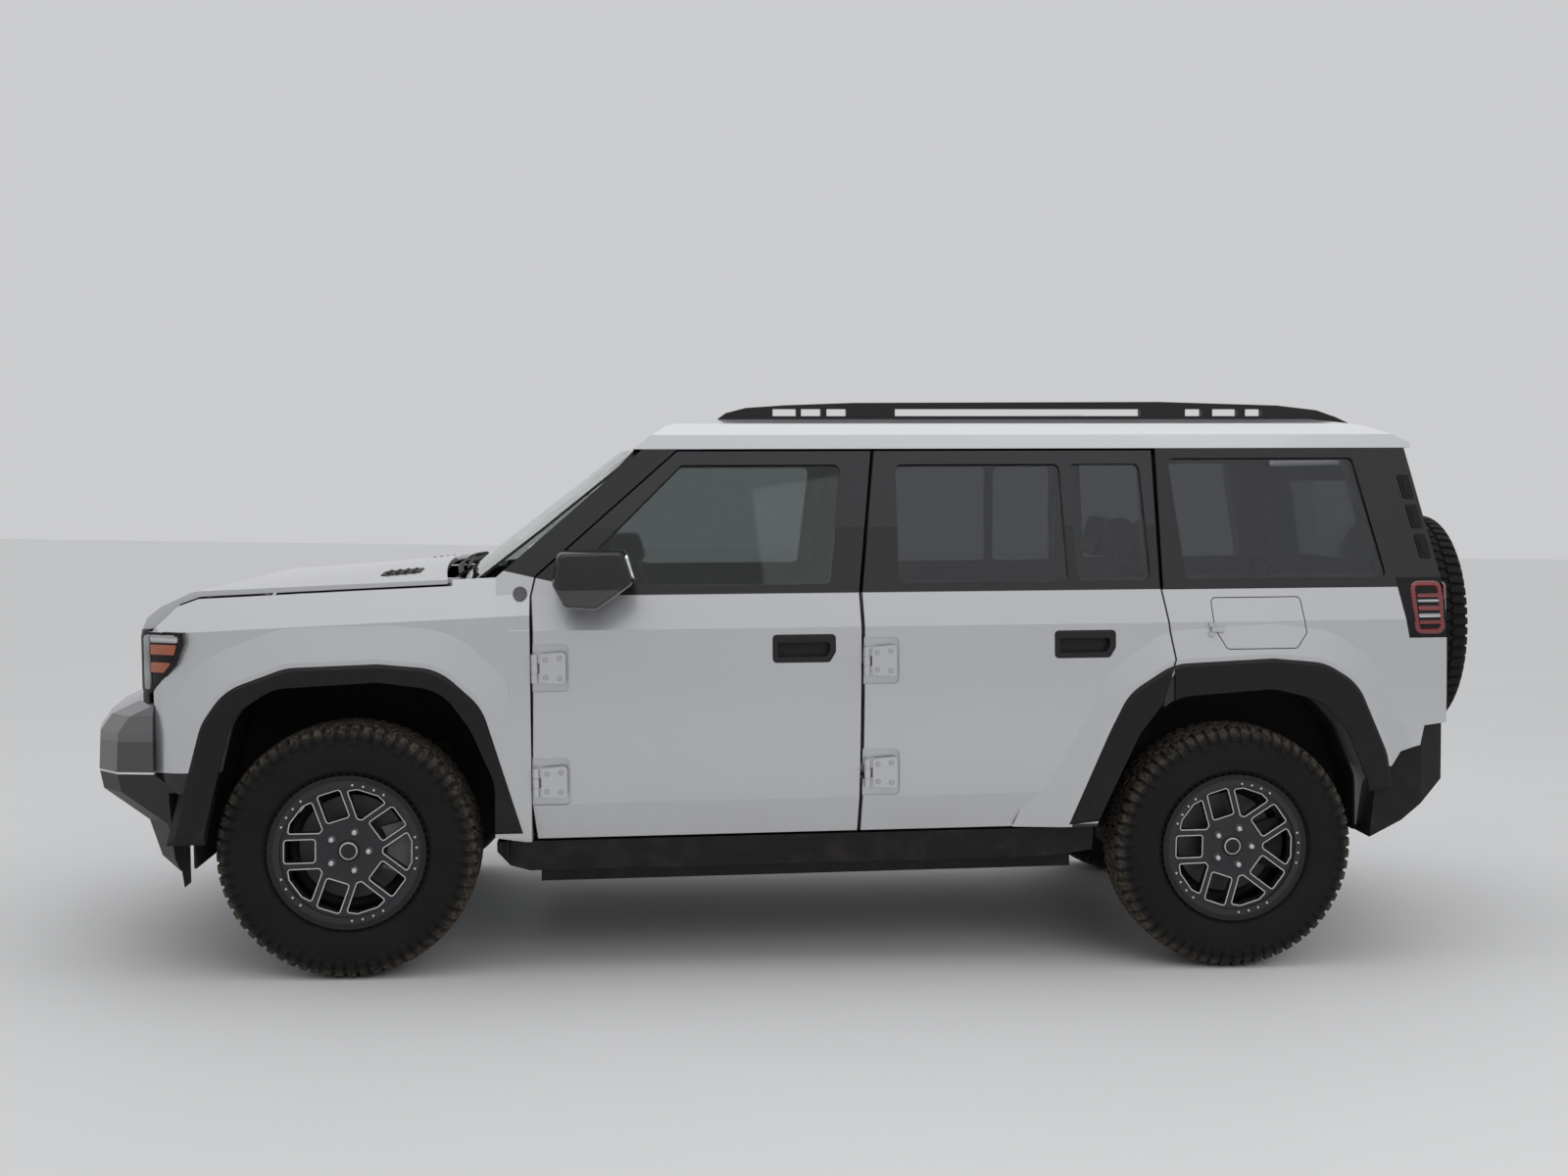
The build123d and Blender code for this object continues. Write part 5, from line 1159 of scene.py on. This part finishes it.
LEFT_SEAT, SEAT_SEAMS = (0.12, 0.64), (0.225, 0.535)
BENCH, BENCH_SEAMS = (-0.61, 0.61), (-0.50, -0.17, 0.17, 0.50)
CHANNEL, UP, AHEAD = 0.085, (0.0, 1.0), (0.97, 0.24)
for part, profile, radius, span, seams, facing, fill in (
    ("cushion", SEAT_CUSHION, 0.045, LEFT_SEAT, SEAT_SEAMS, UP, 0.7),
    ("back", SEAT_BACK, 0.045, LEFT_SEAT, SEAT_SEAMS, AHEAD, 0.7),
    ("rest", HEAD_REST, 0.034, (0.25, 0.51), (), AHEAD, 0.85),
):
    points, way, faces = blown(foam_form(profile, radius, *span))
    points = sewn(points, way, seams, CHANNEL, facing)
    replaced = None
    if part == "cushion":
        points[:, 2] = points[:, 2].clip(SEAT_CUSHION[0][1])
        replaced = "front_seats"
    upholstered(f"front_{part}_left", points, faces, replaced)
    upholstered(f"front_{part}_right", points * (1, -1, 1), faces[:, ::-1], replaced)
for part, profile, facing in (("cushion", BENCH_CUSHION, UP), ("back", BENCH_BACK, AHEAD)):
    points, way, faces = blown(foam_form(np.add(profile, BENCH_SHIFT), 0.036, *BENCH))
    points = sewn(points, way, BENCH_SEAMS, CHANNEL, facing)
    if part == "cushion":
        points[:, 2] = points[:, 2].clip(BENCH_CUSHION[0][1])
    upholstered(f"bench_{part}", points, faces, "rear_seat")
points, way, faces = blown(foam_form(np.add(BENCH_REST, BENCH_SHIFT), 0.030, -0.12, 0.12))
for spot, middle in (("right", -0.40), ("middle", 0.0), ("left", 0.40)):
    upholstered(f"bench_rest_{spot}", points + (0, middle, 0), faces)


def seat_box(name, x0, x1, y0, y1, low, high):
    """A box with rounded corners, slightly narrower at its foot."""
    foot = rounded(oblong(x0, x1, y0, y1), 0.03)
    levels = ((0.95, low), (0.96, low + 0.02), (1.0, high - 0.02), (0.98, high))
    rows = drawn_in(foot, lambda flat, height: np.insert(flat, 2, height, axis=1), levels)
    Piece().tube(stand(np.stack(rows))).make(name, cabin, "body", "cabin_plastic")


seat_box("seat_box_left", -0.18, 0.26, 0.17, 0.59, 0.470, 0.622)
seat_box("seat_box_right", -0.18, 0.26, -0.59, -0.17, 0.470, 0.622)
seat_box("bench_box", REAR_X + 0.48, REAR_X + 0.78, -0.56, 0.56, 0.470, 0.682)


# Floor, light and camera
# A plain pale floor under soft studio light, seen from where the photograph was taken.
FLOOR_HALF = 40.0
FLOOR_DULL, FLOOR_PALE = grey(0.60), grey(0.64)
HORIZON, ZENITH = (0.60, 0.605, 0.615, 1), (0.90, 0.91, 0.925, 1)
EYE = (0.4205 + MIDDLE, 7.2199, 1.5882)
YAW, PITCH, ROLL = (math.radians(angle) for angle in (7.162, 2.984, -1.007))
floor_mesh = bpy.data.meshes.new("floor")
floor_edge = np.array(oblong(-FLOOR_HALF, FLOOR_HALF, -FLOOR_HALF, FLOOR_HALF))
floor_mesh.from_pydata(np.insert(floor_edge, 2, 0.0, axis=1), [], [(0, 1, 2, 3)])
floor = bpy.data.objects.new("floor", floor_mesh)
bpy.context.scene.collection.objects.link(floor)
pale_floor = Finish("floor", FLOOR_PALE, 0.7)
pale_floor.set("Base Color", pale_floor.place.noise(0.7, 4.0).mix(FLOOR_DULL, FLOOR_PALE))
floor_mesh.materials.append(pale_floor.material)

studio = bpy.data.worlds.new("studio")
bpy.context.scene.world = studio
studio.use_nodes = True
backdrop = studio.node_tree.nodes["Background"]
rise = Shade(studio.node_tree).add("TexCoord", out="Generated").parts()[2]
sky_light = rise.step(0.2, 0.8).mix(HORIZON, ZENITH)
studio.node_tree.links.new(sky_light.socket, backdrop.inputs["Color"])
backdrop.inputs["Strength"].default_value = 1.0


def lamp(name, spot, aim, size, power, mirrored=True):
    """A rectangular soft box at a spot, turned towards its aim; mirrored says if gloss shows it."""
    light = bpy.data.lights.new(name, "AREA")
    light.shape = "RECTANGLE"
    light.size, light.size_y = size
    light.energy = power
    made = bpy.data.objects.new(name, light)
    made.location = spot
    made.rotation_euler = (Vector(aim) - Vector(spot)).to_track_quat("-Z", "Y").to_euler()
    made.visible_glossy = mirrored
    bpy.context.scene.collection.objects.link(made)


lamp("sky_panel", (0.3, 1.0, 6.0), (0, 0, 0.8), (9.0, 6.0), 75)
lamp("side_panel", (-3.0, 8.0, 4.5), (0, 0, 0.9), (6.0, 3.0), 150, False)

ahead = np.array((-math.sin(YAW) * math.cos(PITCH), -math.cos(YAW) * math.cos(PITCH), -math.sin(PITCH)))
level = np.array((-math.cos(YAW), math.sin(YAW), 0))
down = np.cross(ahead, level)
right = math.cos(ROLL) * level + math.sin(ROLL) * down
below = -math.sin(ROLL) * level + math.cos(ROLL) * down
eye = bpy.data.cameras.new("camera")
eye.lens, eye.sensor_width, eye.shift_x = 45.0, 36.0, -0.0875
camera = bpy.data.objects.new("camera", eye)
aimed = Matrix([(right[k], -below[k], -ahead[k]) for k in range(3)]).to_4x4()
camera.matrix_world = Matrix.Translation(EYE) @ aimed
bpy.context.scene.collection.objects.link(camera)
bpy.context.scene.camera = camera
bpy.context.scene.view_settings.view_transform = "Standard"
